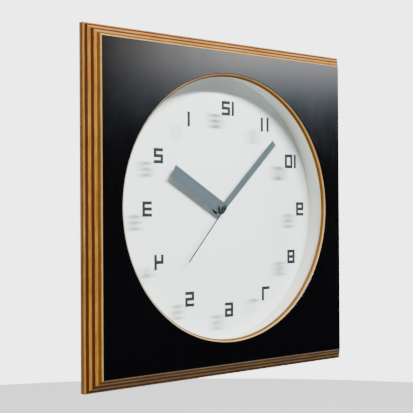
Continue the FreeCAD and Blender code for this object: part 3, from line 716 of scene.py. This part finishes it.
class Kit:
    """Mesh steps that every sub-assembly shares."""

    @staticmethod
    def soften(bm: bmesh.types.BMesh, width: float, segments: int = 2) -> None:
        """Rounds every sharp edge.

        Args:
            bm: The mesh.
            width: Width of the rounding, in metres.
            segments: Segments across it.
        """
        edges = [e for e in bm.edges if e.is_manifold and e.calc_face_angle(0.0) > SHARP]
        shape = {"offset": width, "offset_type": "OFFSET", "segments": segments, "clamp_overlap": True}
        bmesh.ops.bevel(bm, geom=edges, affect="EDGES", profile=0.5, material=-1, **shape)

    @staticmethod
    def finish(
        bm: bmesh.types.BMesh, name: str, node: str, finish: Finish, body: str = "case"
    ) -> None:
        """Makes a mesh into a piece that stands for a CAD node and rides on a body.

        Args:
            bm: The mesh, which is freed.
            name: The piece's name.
            node: The CAD node.
            finish: Its finish.
            body: The body.
        """
        for face in bm.faces:
            face.smooth = True
        for edge in bm.edges:
            edge.smooth = not (edge.is_manifold and edge.calc_face_angle(0.0) > SHARP)
        mesh = bpy.data.meshes.new(name)
        bm.to_mesh(mesh)
        bm.free()
        piece = bpy.data.objects.new(name, mesh)
        bpy.context.scene.collection.objects.link(piece)
        mesh.materials.append(finish.material())
        even = piece.modifiers.new("even_normals", "WEIGHTED_NORMAL")
        even.keep_sharp = True
        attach(piece, body)
        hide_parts(node)
        LOG.info("%s: %d faces, rides on %s", name, len(mesh.polygons), body)

    @staticmethod
    def lathe(
        bm: bmesh.types.BMesh,
        outline: Outline,
        centre: Vector,
        steps: int = 192,
        closed: bool = True,
        axis: Axis = Axis.DEPTH,
    ) -> None:
        """Spins an outline round an axis.

        Args:
            bm: The mesh that takes the shape.
            outline: Radius and place along the axis of each corner.
            centre: A point on the axis.
            steps: Steps round the axis.
            closed: Joins the outline's ends; if not, the ends lie on the axis.
            axis: The axis to spin about.
        """
        if axis is Axis.DEPTH:
            corners = [(centre.x + radius, place, centre.z) for radius, place in outline]
        else:
            corners = [(place, centre.y, centre.z + radius) for radius, place in outline]
        verts = [bm.verts.new(corner) for corner in corners]
        pairs = list(zip(verts, verts[1:]))
        if closed:
            pairs.append((verts[-1], verts[0]))
        edges = [bm.edges.new(pair) for pair in pairs]
        geometry = verts + edges
        around = {"cent": centre, "axis": axis.value, "angle": FULL_TURN, "steps": steps}
        bmesh.ops.spin(bm, geom=geometry, use_merge=True, **around)
        bmesh.ops.remove_doubles(bm, verts=bm.verts, dist=MERGE)
        bmesh.ops.recalc_face_normals(bm, faces=bm.faces)

    @staticmethod
    def turned(
        name: str,
        node: str,
        finish: Finish,
        outline: Outline,
        centre: Vector,
        edge: float = 0.0,
        **spin: int | bool | Axis,
    ) -> None:
        """Makes a whole piece of the case from one turned outline.

        Args:
            name: The piece's name.
            node: The CAD node that it stands for.
            finish: Its finish.
            outline: Radius and place along the axis of each corner.
            centre: A point on the axis.
            edge: Width that its edges are rounded by, if any.
            spin: How the outline is spun, as lathe takes it.
        """
        bm = bmesh.new()
        Kit.lathe(bm, outline, centre, **spin)
        if edge:
            Kit.soften(bm, edge)
        Kit.finish(bm, name, node, finish)

    @staticmethod
    def loft(bm: bmesh.types.BMesh, stations: Sequence[Station], centre: Vector, steps: int) -> None:
        """Draws a closed ring of square and round loops by extruding one loop from station to station.

        Args:
            bm: The mesh that takes the ring.
            stations: The loops, in order; the last is joined to the first.
            centre: A point on the axis.
            steps: Corners of each loop, a multiple of eight.
        """
        across = Matrix.Translation(centre) @ Matrix.Rotation(math.pi / 2, 4, "X")
        start = bmesh.ops.create_circle(bm, segments=steps, radius=1.0, matrix=across)
        ring = start["verts"]
        edges = list({edge for vert in ring for edge in vert.link_edges})
        Kit.send(ring, stations[0], centre)
        for station in [*stations[1:], stations[0]]:
            made = bmesh.ops.extrude_edge_only(bm, edges=edges)["geom"]
            ring = [part for part in made if isinstance(part, bmesh.types.BMVert)]
            inside = set(ring)
            edges = [e for e in made if isinstance(e, bmesh.types.BMEdge) and set(e.verts) <= inside]
            Kit.send(ring, station, centre)
        bmesh.ops.remove_doubles(bm, verts=bm.verts, dist=MERGE)
        bmesh.ops.recalc_face_normals(bm, faces=bm.faces)

    @staticmethod
    def send(ring: Sequence[bmesh.types.BMVert], station: Station, centre: Vector) -> None:
        """Moves a loop's corners straight outward or inward to a station.

        Args:
            ring: The corners.
            station: Where they go.
            centre: A point on the axis.
        """
        for vert in ring:
            angle = math.atan2(vert.co.z - centre.z, vert.co.x - centre.x)
            reach = station.size
            if station.form is Form.SQUARE:
                reach /= max(abs(math.cos(angle)), abs(math.sin(angle)))
            across, up = reach * math.cos(angle), reach * math.sin(angle)
            vert.co = (centre.x + across, station.depth, centre.z + up)


# ---- Board --------------------------------------------------------------------------------


@dataclass
class Board:
    """Plywood board and its black face, with a bevelled edge and a round opening."""

    opening: float = OPENING
    chamfer: float = 3.0 * MM
    bevel_width: float = 13.0 * MM
    bevel_depth: float = 13.5 * MM
    arris: float = 0.22 * MM
    relief: float = 0.05 * MM
    groove: float = 0.25 * MM
    face_arris: float = 0.12 * MM
    rebate_gap: float = 0.3 * MM
    steps: int = 192
    plies: tuple[Ply, ...] = ()

    def __post_init__(self) -> None:
        """Reads the board's place from the frame."""
        low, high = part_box("frame_board")
        self.front, self.seam, self.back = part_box("face_laminate")[0].y, low.y, high.y
        self.half = high.x
        self.centre = Vector((0.0, 0.0, (low.z + high.z) / 2))
        self.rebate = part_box("glass_gasket")[1].x + self.rebate_gap
        self.glass_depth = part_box("cover_glass")[0].y - self.front

    def outline(self, depth: float) -> float:
        """Half of the board's side at a depth behind the front face."""
        return self.half - self.bevel_width * max(0.0, 1.0 - depth / self.bevel_depth)

    def mouth(self, depth: float) -> float:
        """Radius of the chamfered opening at a depth behind the front face."""
        return self.opening - min(depth, self.chamfer)

    def grooves(self, start: float, end: float) -> list[tuple[float, float]]:
        """Shallow grooves at the ply seams between two depths.

        Args:
            start: First depth behind the front face.
            end: Last depth.

        Returns:
            Depth and inset of each station, front to back.
        """
        made = []
        depth = 0.0
        for ply in self.plies[:-1]:
            depth += ply.thickness * MM
            for shift, inset in ((-self.groove, 0.0), (0.0, self.relief), (self.groove, 0.0)):
                if start + self.groove < depth + shift < end - self.groove:
                    made.append((depth + shift, inset))
        return made

    def build(self, plywood: Finish, laminate: Finish) -> None:
        """Makes the board and the face, each in its finish."""
        self.board(plywood)
        self.face(laminate)

    def square(self, depth: float, inset: float = 0.0) -> Station:
        """A square loop at a depth behind the front face."""
        return Station(self.outline(depth) - inset, self.front + depth)

    def circle(self, radius: float, depth: float) -> Station:
        """A round loop at a depth behind the front face."""
        return Station(radius, self.front + depth, Form.ROUND)

    def lip(self, depth: float, inset: float = 0.0) -> Station:
        """A round loop on the opening's own wall."""
        return self.circle(self.mouth(depth) + inset, depth)

    def board(self, finish: Finish) -> None:
        """Makes the plywood board with its rebate.

        Args:
            finish: Its finish.
        """
        seam, back = self.seam - self.front, self.back - self.front
        ring = [self.square(seam)]
        ring += [self.square(depth, inset) for depth, inset in self.grooves(seam, self.bevel_depth)]
        ring.append(self.square(self.bevel_depth))
        ring += [self.square(depth, inset) for depth, inset in self.grooves(self.bevel_depth, back)]
        ring.append(self.square(back))
        ring += [self.circle(self.rebate, back), self.circle(self.rebate, self.glass_depth)]
        ring.append(self.lip(self.glass_depth))
        wall = self.grooves(seam, self.chamfer) + [(self.chamfer, 0.0)]
        wall += self.grooves(self.chamfer, self.glass_depth)
        ring += [self.lip(depth, inset) for depth, inset in reversed(wall)]
        ring.append(self.lip(seam))
        bm = bmesh.new()
        Kit.loft(bm, ring, self.centre, self.steps)
        Kit.soften(bm, self.arris, segments=3)
        Kit.finish(bm, "plywood_board", "frame_board", finish)

    def face(self, finish: Finish) -> None:
        """Makes the thin black face.

        Args:
            finish: Its finish.
        """
        seam = self.seam - self.front
        ring = [self.square(0.0), self.square(seam), self.lip(seam), self.lip(0.0)]
        bm = bmesh.new()
        Kit.loft(bm, ring, self.centre, self.steps)
        Kit.soften(bm, self.face_arris)
        Kit.finish(bm, "black_face", "face_laminate", finish)


# ---- Glass, cup and dial ------------------------------------------------------------------


@dataclass
class DialPan:
    """Glass, its gasket, the white cup and the dial behind the board."""

    flange_width: float = 8.8 * MM
    flange_thick: float = 2.5 * MM
    boss: float = 3.4 * MM
    boss_taper: float = 0.92
    bosses: int = 6
    bush: float = 4.06 * MM
    opening: float = OPENING

    def __post_init__(self) -> None:
        """Reads the pieces' places from the frame."""
        low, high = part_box("cover_glass")
        self.centre = Vector((0.0, 0.0, (low.z + high.z) / 2))

    def disc(self, node: str, inner: float = 0.0) -> list[tuple[float, float]]:
        """Radius and depth of each corner of a flat disc or ring between a node's depths."""
        low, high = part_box(node)
        return [(inner, low.y), (high.x, low.y), (high.x, high.y), (inner, high.y)]

    def build(self, pane: Finish, foam: Finish, cup: Finish, dial: Finish) -> None:
        """Makes the four pieces.

        Args:
            pane: The glass.
            foam: The gasket.
            cup: The cup.
            dial: The dial.
        """
        glass, gasket = self.disc("cover_glass"), self.disc("glass_gasket", self.opening)
        plate = self.disc("dial_plate", self.bush)
        Kit.turned("glass_pane", "cover_glass", pane, glass, self.centre, edge=0.4 * MM, closed=False)
        Kit.turned("foam_ring", "glass_gasket", foam, gasket, self.centre, edge=0.2 * MM)
        Kit.turned("dial_sheet", "dial_plate", dial, plate, self.centre, edge=0.25 * MM)
        self.cup(cup)

    def cup(self, finish: Finish) -> None:
        """Makes the white ring with its flange and screw bosses.

        Args:
            finish: Its finish.
        """
        low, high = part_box("dial_cup")
        flange_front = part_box("frame_board")[1].y
        flange_back = flange_front + self.flange_thick
        outer = high.x - self.flange_width
        outline = [
            (self.opening, low.y),
            (outer, low.y),
            (outer, flange_front),
            (high.x, flange_front),
            (high.x, flange_back),
            (outer, flange_back),
            (outer, high.y),
            (self.opening, high.y),
        ]
        bm = bmesh.new()
        Kit.lathe(bm, outline, self.centre)
        middle = high.x - self.flange_width / 2
        for step in range(self.bosses):
            angle = FULL_TURN * (step + 0.5) / self.bosses
            at = self.centre + Vector((middle * math.cos(angle), 0.0, middle * math.sin(angle)))
            base = [(SCREW_BORE, flange_back), (self.boss, flange_back)]
            top = [(self.boss * self.boss_taper, high.y), (SCREW_BORE, high.y)]
            Kit.lathe(bm, base + top, at, steps=32)
        Kit.soften(bm, 0.3 * MM)
        Kit.finish(bm, "white_cup", "dial_cup", finish)


# ---- Hands --------------------------------------------------------------------------------


@dataclass
class Hand:
    """A flat hand with a round root, a square tip and a collar behind."""

    name: str
    node: str
    length: float
    width: float
    root: float
    tube: float
    angle: float
    thick: float = 0.5 * MM
    collar_wall: float = 0.9 * MM
    cap: float = 0.0
    cap_height: float = 0.35 * MM
    arris: float = 0.09 * MM
    facets: int = 96
    collar_steps: int = 48

    def build(self, finish: Finish, centre: Vector) -> None:
        """Makes the hand at its place at rest.

        Args:
            finish: Its finish.
            centre: A point on the dial's axis.
        """
        low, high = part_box(self.node)
        bm = bmesh.new()
        flat = Matrix.Translation((0.0, low.y, 0.0)) @ Matrix.Rotation(math.pi / 2, 4, "X")
        bmesh.ops.create_circle(bm, cap_ends=True, segments=self.facets, radius=self.root, matrix=flat)
        chord = math.sqrt(max(0.0, self.root**2 - (self.width / 2) ** 2))
        geometry = bm.verts[:] + bm.edges[:] + bm.faces[:]
        cut = {"plane_co": Vector((0.0, low.y, chord)), "plane_no": (0.0, 0.0, 1.0)}
        bmesh.ops.bisect_plane(bm, geom=geometry, clear_outer=True, **cut)
        top = [e for e in bm.edges if all(abs(v.co.z - chord) < 1e-6 for v in e.verts)]
        made = bmesh.ops.extrude_edge_only(bm, edges=top)
        tips = [v for v in made["geom"] if isinstance(v, bmesh.types.BMVert)]
        bmesh.ops.translate(bm, verts=tips, vec=(0.0, 0.0, self.length - chord))
        made = bmesh.ops.extrude_face_region(bm, geom=bm.faces[:])
        back = [v for v in made["geom"] if isinstance(v, bmesh.types.BMVert)]
        bmesh.ops.translate(bm, verts=back, vec=(0.0, self.thick, 0.0))
        bmesh.ops.recalc_face_normals(bm, faces=bm.faces)
        outer = self.tube + self.collar_wall
        rear = low.y + self.thick
        collar = [(self.tube, rear), (outer, rear), (outer, high.y), (self.tube, high.y)]
        Kit.lathe(bm, collar, Vector(), steps=self.collar_steps)
        if self.cap:
            front = low.y - self.cap_height
            dome = [(0.0, front), (self.cap * 0.7, front + 0.05 * MM), (self.cap, low.y), (0.0, low.y)]
            Kit.lathe(bm, dome, Vector(), steps=self.collar_steps, closed=False)
        Kit.soften(bm, self.arris)
        place = Matrix.Translation(centre) @ Matrix.Rotation(-math.radians(self.angle), 4, "Y")
        bmesh.ops.transform(bm, matrix=place, verts=bm.verts)
        Kit.finish(bm, self.name, self.node, finish, self.node)


# ---- Fittings -----------------------------------------------------------------------------


@dataclass(frozen=True)
class Fitting:
    """A part that keeps its CAD shape, with its edges rounded as they are on the real thing."""

    name: str
    node: str
    finish: Finish
    edge: float = 0.0
    body: str = "case"

    def build(self) -> None:
        """Copies the node, merges its triangles into whole faces and rounds its edges."""
        bm = bmesh.new()
        bm.from_mesh(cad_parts[self.node].data)
        bmesh.ops.remove_doubles(bm, verts=bm.verts, dist=1e-6)
        bmesh.ops.dissolve_limit(bm, angle_limit=FLAT, verts=bm.verts, edges=bm.edges)
        if self.edge:
            Kit.soften(bm, self.edge * MM)
        Kit.finish(bm, self.name, self.node, self.finish, self.body)


@dataclass
class Cell:
    """AA cell lying across the movement, with its nub at the left."""

    nub: float = 2.75 * MM
    nub_length: float = 1.0 * MM
    rim: float = 0.6 * MM
    washer: float = 5.4 * MM
    dimple: float = 4.6 * MM

    def build(self) -> None:
        """Turns the cell about its long axis."""
        low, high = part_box("battery")
        radius = (high.z - low.z) / 2
        centre = Vector((0.0, low.y + radius, (low.z + high.z) / 2))
        shoulder, end = low.x + self.nub_length, high.x
        outline = [
            (0.0, low.x),
            (self.nub - 0.25 * MM, low.x),
            (self.nub, low.x + 0.25 * MM),
            (self.nub, shoulder + 0.1 * MM),
            (self.washer, shoulder + 0.1 * MM),
            (self.washer + 0.1 * MM, shoulder + 0.5 * MM),
            (radius - 1.1 * MM, shoulder + 0.5 * MM),
            (radius - 0.9 * MM, shoulder),
            (radius - 0.35 * MM, shoulder + 0.12 * MM),
            (radius, shoulder + self.rim),
            (radius, end - self.rim),
            (radius - 0.4 * MM, end - 0.15 * MM),
            (radius - 1.0 * MM, end - 0.1 * MM),
            (radius - 1.3 * MM, end - 0.35 * MM),
            (self.dimple, end - 0.35 * MM),
            (self.dimple - 0.4 * MM, end),
            (0.0, end),
        ]
        sleeve = Sleeve("cell_sleeve", (0.012, 0.014, 0.016), 0.28, left=low.x, length=end - low.x)
        Kit.turned("aa_cell", "battery", sleeve, outline, centre, steps=64, closed=False, axis=Axis.ACROSS)


@dataclass
class Motor:
    """Copper coil, whose outside shows its turns, and the can of the crystal."""

    turns: int = 34
    crest: float = 0.1 * MM
    core: float = 1.4 * MM
    can_flange: float = 0.5 * MM

    def build(self) -> None:
        """Turns the coil and the can about their long axes."""
        self.coil()
        self.can()

    def middle(self, node: str) -> tuple[Vector, float]:
        """A point on the axis, and the radius, of a node that lies across the clock."""
        low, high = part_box(node)
        return (low + high) / 2, (high.z - low.z) / 2

    def coil(self) -> None:
        """The winding, with a ridge for each turn."""
        low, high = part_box("coil_winding")
        centre, radius = self.middle("coil_winding")
        pitch = (high.x - low.x) / self.turns
        outline = [(self.core, low.x), (radius - self.crest, low.x)]
        for turn in range(self.turns):
            start = low.x + pitch * turn
            outline.append((radius, start + pitch * 0.3))
            outline.append((radius, start + pitch * 0.7))
            outline.append((radius - self.crest, start + pitch))
        outline.append((self.core, high.x))
        wire = Enamel("enamelled_wire", (0.62, 0.17, 0.05), 0.25, metallic=0.85)
        Kit.turned("copper_coil", "coil_winding", wire, outline, centre, steps=40, axis=Axis.ACROSS)

    def can(self) -> None:
        """The crystal's can, with a rolled flange at its leads."""
        low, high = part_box("quartz_crystal")
        centre, radius = self.middle("quartz_crystal")
        body = radius - 0.12 * MM
        outline = [
            (0.0, low.x),
            (radius, low.x),
            (radius, low.x + self.can_flange),
            (body, low.x + self.can_flange * 1.2),
            (body, high.x - 0.4 * MM),
            (body - 0.12 * MM, high.x - 0.12 * MM),
            (body - 0.4 * MM, high.x),
            (0.0, high.x),
        ]
        tin = Metal("tinned_can", (0.78, 0.78, 0.76), 0.2, metallic=1.0)
        spin = {"steps": 32, "closed": False, "axis": Axis.ACROSS}
        Kit.turned("crystal_can", "quartz_crystal", tin, outline, centre, **spin)


# ---- Studio -------------------------------------------------------------------------------


@dataclass
class Studio:
    """Floor, lights and camera."""

    distance: float = 0.9739
    azimuth: float = -41.29
    elevation: float = -0.41
    yaw: float = 39.69
    pitch: float = 0.492
    roll: float = -0.335
    lens: float = 83.855
    floor_drop: float = 0.45
    floor_radius: float = 2.6
    lamp_shift: Sequence[float] = (0.05, -1.25, 0.9)
    lamp_size: Sequence[float] = (1.1, 0.13)
    lamp_power: float = 108.0
    paper: Colour = (4.2, 4.25, 4.3)
    dark_room: Colour = (0.003, 0.0045, 0.008)
    room_behind: Colour = (1.3, 1.32, 1.35)
    window_foot: Colour = (3.6, 5.6, 7.6)
    window_head: Colour = (9.4, 9.2, 9.1)
    sky_front: Colour = (0.03, 0.03, 0.032)
    sky_side: Colour = (2.1, 2.1, 2.1)
    sky_below: Colour = (1.2, 1.17, 1.12)
    sky_window: Colour = (0.3, 0.3, 0.32)
    sky_behind: Colour = (1.5, 1.5, 1.5)
    sky_above: Colour = (4.0, 4.05, 4.1)

    def build(self) -> None:
        """Makes the stage round the clock."""
        low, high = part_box("face_laminate")
        self.face = Vector((0.0, low.y, (low.z + high.z) / 2))
        self.floor(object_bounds()[0][2] - self.floor_drop)
        self.camera()
        self.world()
        self.key()

    def camera(self) -> None:
        """The camera, level with the dial and well to the left of straight ahead."""
        azimuth, elevation = math.radians(self.azimuth), math.radians(self.elevation)
        away = Vector(
            (
                math.sin(azimuth) * math.cos(elevation),
                -math.cos(azimuth) * math.cos(elevation),
                math.sin(elevation),
            )
        )
        data = bpy.data.cameras.new("camera")
        data.lens = self.lens
        data.sensor_width = 36.0
        data.clip_start = 0.01
        camera = bpy.data.objects.new("camera", data)
        bpy.context.scene.collection.objects.link(camera)
        turn = Matrix.Rotation(-math.radians(self.yaw), 4, "Z")
        tilt = Matrix.Rotation(math.pi / 2 + math.radians(self.pitch), 4, "X")
        spin = Matrix.Rotation(math.radians(self.roll), 4, "Z")
        camera.matrix_world = Matrix.Translation(self.face + away * self.distance) @ turn @ tilt @ spin
        bpy.context.scene.camera = camera

    def floor(self, level: float) -> None:
        """A plain pale floor far below the clock.

        Args:
            level: Its height.
        """
        bm = bmesh.new()
        bmesh.ops.create_circle(bm, cap_ends=True, segments=64, radius=self.floor_radius)
        bmesh.ops.translate(bm, verts=bm.verts, vec=(0.0, 0.0, level))
        mesh = bpy.data.meshes.new("floor")
        bm.to_mesh(mesh)
        bm.free()
        floor = bpy.data.objects.new("floor", mesh)
        bpy.context.scene.collection.objects.link(floor)
        pale = Moulded("pale_floor", (0.8, 0.8, 0.79), 0.8, grain=0.05, mottle=0.02)
        mesh.materials.append(pale.material())
        # It throws no light back on the clock and shows in no mirror.
        floor.visible_diffuse = False
        floor.visible_glossy = False
        floor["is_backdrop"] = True

    def key(self) -> None:
        """A long thin lamp above and in front of the dial, which casts soft shadows that lie level."""
        data = bpy.data.lights.new("key", "AREA")
        data.shape = "RECTANGLE"
        data.size, data.size_y = self.lamp_size
        data.energy = self.lamp_power
        data.color = (1.0, 0.99, 0.97)
        lamp = bpy.data.objects.new("key", data)
        lamp.location = self.face + Vector(self.lamp_shift)
        lamp.rotation_mode = "QUATERNION"
        lamp.rotation_quaternion = (-Vector(self.lamp_shift)).to_track_quat("-Z", "Y")
        bpy.context.scene.collection.objects.link(lamp)

    def world(self) -> None:
        """Pale to look at, with soft light, and a dim room with one window for what mirrors it."""
        world = bpy.data.worlds.new("world")
        bpy.context.scene.world = world
        world.use_nodes = True
        graph = Graph(world.node_tree)
        direction = graph.value("ShaderNodeTexCoord", output="Generated")
        x, y, z = graph.parts(direction)
        # The steps are on the parts of the direction's unit vector.
        window = z.step(0.085, 0.19) * x.step(0.52, 0.68) * (1.0 - z.step(0.4, 0.6))
        bands = graph.noise(graph.stretch(direction, (3.0, 3.0, 26.0)), 1.0, 2.0) * 0.8 + 0.58
        pane = graph.mix(z.step(0.1, 0.165), self.window_foot, self.window_head)
        room = graph.mix(window * bands, self.dark_room, pane)
        room = graph.mix(y.step(0.05, 0.3), room, self.room_behind)
        side = (1.0 - x).step(1.55, 1.85) * y.step(-0.5, -0.2)
        behind = y.step(-0.3, 0.1)
        sky = graph.mix(side, self.sky_front, self.sky_side)
        sky = graph.mix((1.0 - z).step(1.55, 1.8), sky, self.sky_below)
        sky = graph.mix(window * (1.0 - behind), sky, self.sky_window)
        sky = graph.mix(behind, sky, self.sky_behind)
        sky = graph.mix(z.step(0.8, 0.92), sky, self.sky_above)
        path = graph.node("ShaderNodeLightPath")
        colour = graph.mix(Value(graph, path.outputs["Is Glossy Ray"]), sky, room)
        colour = graph.mix(Value(graph, path.outputs["Is Camera Ray"]), colour, self.paper)
        background = graph.node("ShaderNodeBackground", inputs={"Color": colour, "Strength": 1.0})
        output = graph.node("ShaderNodeOutputWorld")
        graph.tree.links.new(background.outputs[0], output.inputs[0])


# ---- Assembly -----------------------------------------------------------------------------


CREAM = (0.34, 0.19, 0.06)
TAN = (0.3, 0.14, 0.02)
GOLD = (0.1, 0.04, 0.002)
MAROON = (0.05, 0.011, 0.0006)
RUSSET = (0.14, 0.055, 0.01)
PLIES = (
    Ply(1.65, CREAM, False),
    Ply(2.2, GOLD, True),
    Ply(2.0, TAN, False),
    Ply(2.2, MAROON, True),
    Ply(2.0, TAN, False),
    Ply(2.1, MAROON, True),
    Ply(1.8, TAN, False),
    Ply(2.2, RUSSET, True),
    Ply(3.05, (0.25, 0.12, 0.035), False),
)


def hands() -> list[Hand]:
    """The three hands.

    Returns:
        The hour, minute and second hand.
    """
    hour = {"length": 72.4 * MM, "width": 13.8 * MM, "root": 6.9 * MM, "tube": 2.4 * MM}
    minute = {"length": 101.0 * MM, "width": 7.2 * MM, "root": 4.5 * MM, "tube": 1.5 * MM}
    second = {"length": 71.7 * MM, "width": 1.5 * MM, "root": 2.8 * MM, "tube": 0.5 * MM}
    return [
        Hand("hour_blade", "hour_hand", angle=59.3, **hour),
        Hand("minute_blade", "minute_hand", angle=-46.3, **minute),
        Hand("second_blade", "second_hand", angle=138.8, cap=1.3 * MM, **second),
    ]


def fittings() -> list[Fitting]:
    """The parts that keep their CAD shape.

    Returns:
        The fittings, case parts first.
    """
    zinc = Metal("zinc_plate", (0.5, 0.51, 0.53), 0.34, metallic=1.0)
    pine = Pine("planed_pine", (0.62, 0.4, 0.19), 0.55)
    plastic = Moulded("black_moulding", (0.012, 0.012, 0.013), 0.42, grain=2.4, relief=0.02)
    spring = Metal("spring_steel_finish", (0.6, 0.58, 0.53), 0.3, metallic=1.0)
    brass = Metal("brass_finish", (0.72, 0.47, 0.16), 0.28, metallic=1.0)
    steel = Metal("ground_steel", (0.55, 0.55, 0.56), 0.22, metallic=1.0)
    oxide = Metal("black_oxide", (0.035, 0.036, 0.04), 0.4, metallic=0.8)
    iron = Metal("soft_iron_finish", (0.3, 0.29, 0.28), 0.45, metallic=1.0)
    magnet = Metal("magnet_finish", (0.16, 0.16, 0.17), 0.35, metallic=0.9)
    felt = Felt("grey_felt", (0.05, 0.05, 0.052), 0.95)
    rubber = Moulded("black_rubber_finish", (0.01, 0.01, 0.01), 0.75)
    resin = Moulded("black_resin_finish", (0.008, 0.008, 0.009), 0.2)
    mask = Printed("green_mask", (0.01, 0.11, 0.035), 0.3)
    nylon = Moulded("natural_nylon_finish", (0.68, 0.66, 0.58), 0.42)
    white_gear = Moulded("white_acetal_finish", (0.8, 0.8, 0.78), 0.35)
    amber_gear = Moulded("amber_acetal_finish", (0.62, 0.33, 0.08), 0.35)
    # Piece, node, finish, rounding of its edges in millimetres, and body.
    return [
        Fitting("cup_fixings", "cup_screws", zinc, 0.15),
        Fitting("dial_fixings", "dial_screws", zinc, 0.1),
        Fitting("upper_strip", "top_batten", pine, 0.5),
        Fitting("lower_strip", "bottom_batten", pine, 0.5),
        Fitting("strip_fixings", "batten_screws", zinc, 0.12),
        Fitting("keyhole_plate", "hanger_plate", zinc, 0.18),
        Fitting("plate_fixings", "hanger_screws", zinc, 0.1),
        Fitting("felt_pads", "wall_pads", felt, 0.35),
        Fitting("movement_shell", "movement_case", plastic, 0.22),
        Fitting("movement_lid", "movement_cover", plastic, 0.2),
        Fitting("rubber_ring", "movement_washer", rubber, 0.12),
        Fitting("brass_ring", "nut_washer", brass, 0.06),
        Fitting("hex_nut", "centre_nut", oxide, 0.25),
        Fitting("pivot_bridge", "train_bridge", nylon, 0.08),
        Fitting("bridge_fixings", "bridge_screws", zinc, 0.06),
        Fitting("plus_contact", "battery_contact_plus", spring, 0.05),
        Fitting("minus_contact", "battery_contact_minus", spring, 0.05),
        Fitting("printed_board", "circuit_board", mask, 0.05),
        Fitting("resin_blob", "control_chip", resin),
        Fitting("iron_plate", "stator", iron, 0.06),
        Fitting("coil_former", "coil_bobbin", nylon, 0.06),
        Fitting("rotor_ring", "rotor_magnet", magnet, 0.1, "rotor"),
        Fitting("rotor_spindle", "rotor_pinion", steel, 0.0, "rotor"),
        Fitting("idler", "intermediate_wheel", white_gear, 0.0, "intermediate_wheel"),
        Fitting("seconds_spindle", "seconds_wheel", white_gear, 0.0, "second_hand"),
        Fitting("third_spindle", "third_wheel", white_gear, 0.0, "third_wheel"),
        Fitting("clutch_wheel", "clutch_gear", amber_gear, 0.0, "clutch_gear"),
        Fitting("minute_tube", "minute_arbor", brass, 0.0, "minute_hand"),
        Fitting("motion_spindle", "motion_wheel", amber_gear, 0.0, "motion_wheel"),
        Fitting("hour_tube", "hour_wheel", amber_gear, 0.0, "hour_hand"),
        Fitting("set_knob", "setting_knob", plastic, 0.12, "setting_knob"),
    ]


def main() -> None:
    """Builds the clock's looks in order."""
    logging.basicConfig(level=logging.INFO, format="%(name)s %(message)s")
    board = Board(plies=PLIES)
    plywood = Plywood("cut_plywood", (0.5, 0.3, 0.13), 0.55, specular=0.12, front=board.front, plies=PLIES)
    laminate = Laminate("black_laminate_finish", (0.0012, 0.0012, 0.0015), 0.1, front=board.front)
    board.build(plywood, laminate)
    pan = DialPan()
    pan.build(
        Pane("clear_glass_finish", (1.0, 1.0, 1.0), 0.01),
        Moulded("white_foam_finish", (0.8, 0.8, 0.76), 0.85),
        Moulded("ivory_moulding", (0.66, 0.64, 0.57), 0.42),
        Moulded("dial_white", (0.78, 0.85, 0.875), 0.5, mottle=0.01),
    )
    grey = Metal("hand_grey_finish", (0.05, 0.066, 0.08), 0.5, specular=0.15)
    black = Metal("hand_black_finish", (0.012, 0.014, 0.016), 0.45, specular=0.2)
    for hand, finish in zip(hands(), (grey, grey, black)):
        hand.build(finish, pan.centre)
    Cell().build()
    Motor().build()
    for fitting in fittings():
        fitting.build()
    slate = Moulded("slate_film", (0.014, 0.018, 0.021), 0.7, specular=0.1)
    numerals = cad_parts["numerals"]
    numerals.data.materials.clear()
    numerals.data.materials.append(slate.material())
    Studio().build()


if __name__ == "__main__":
    main()
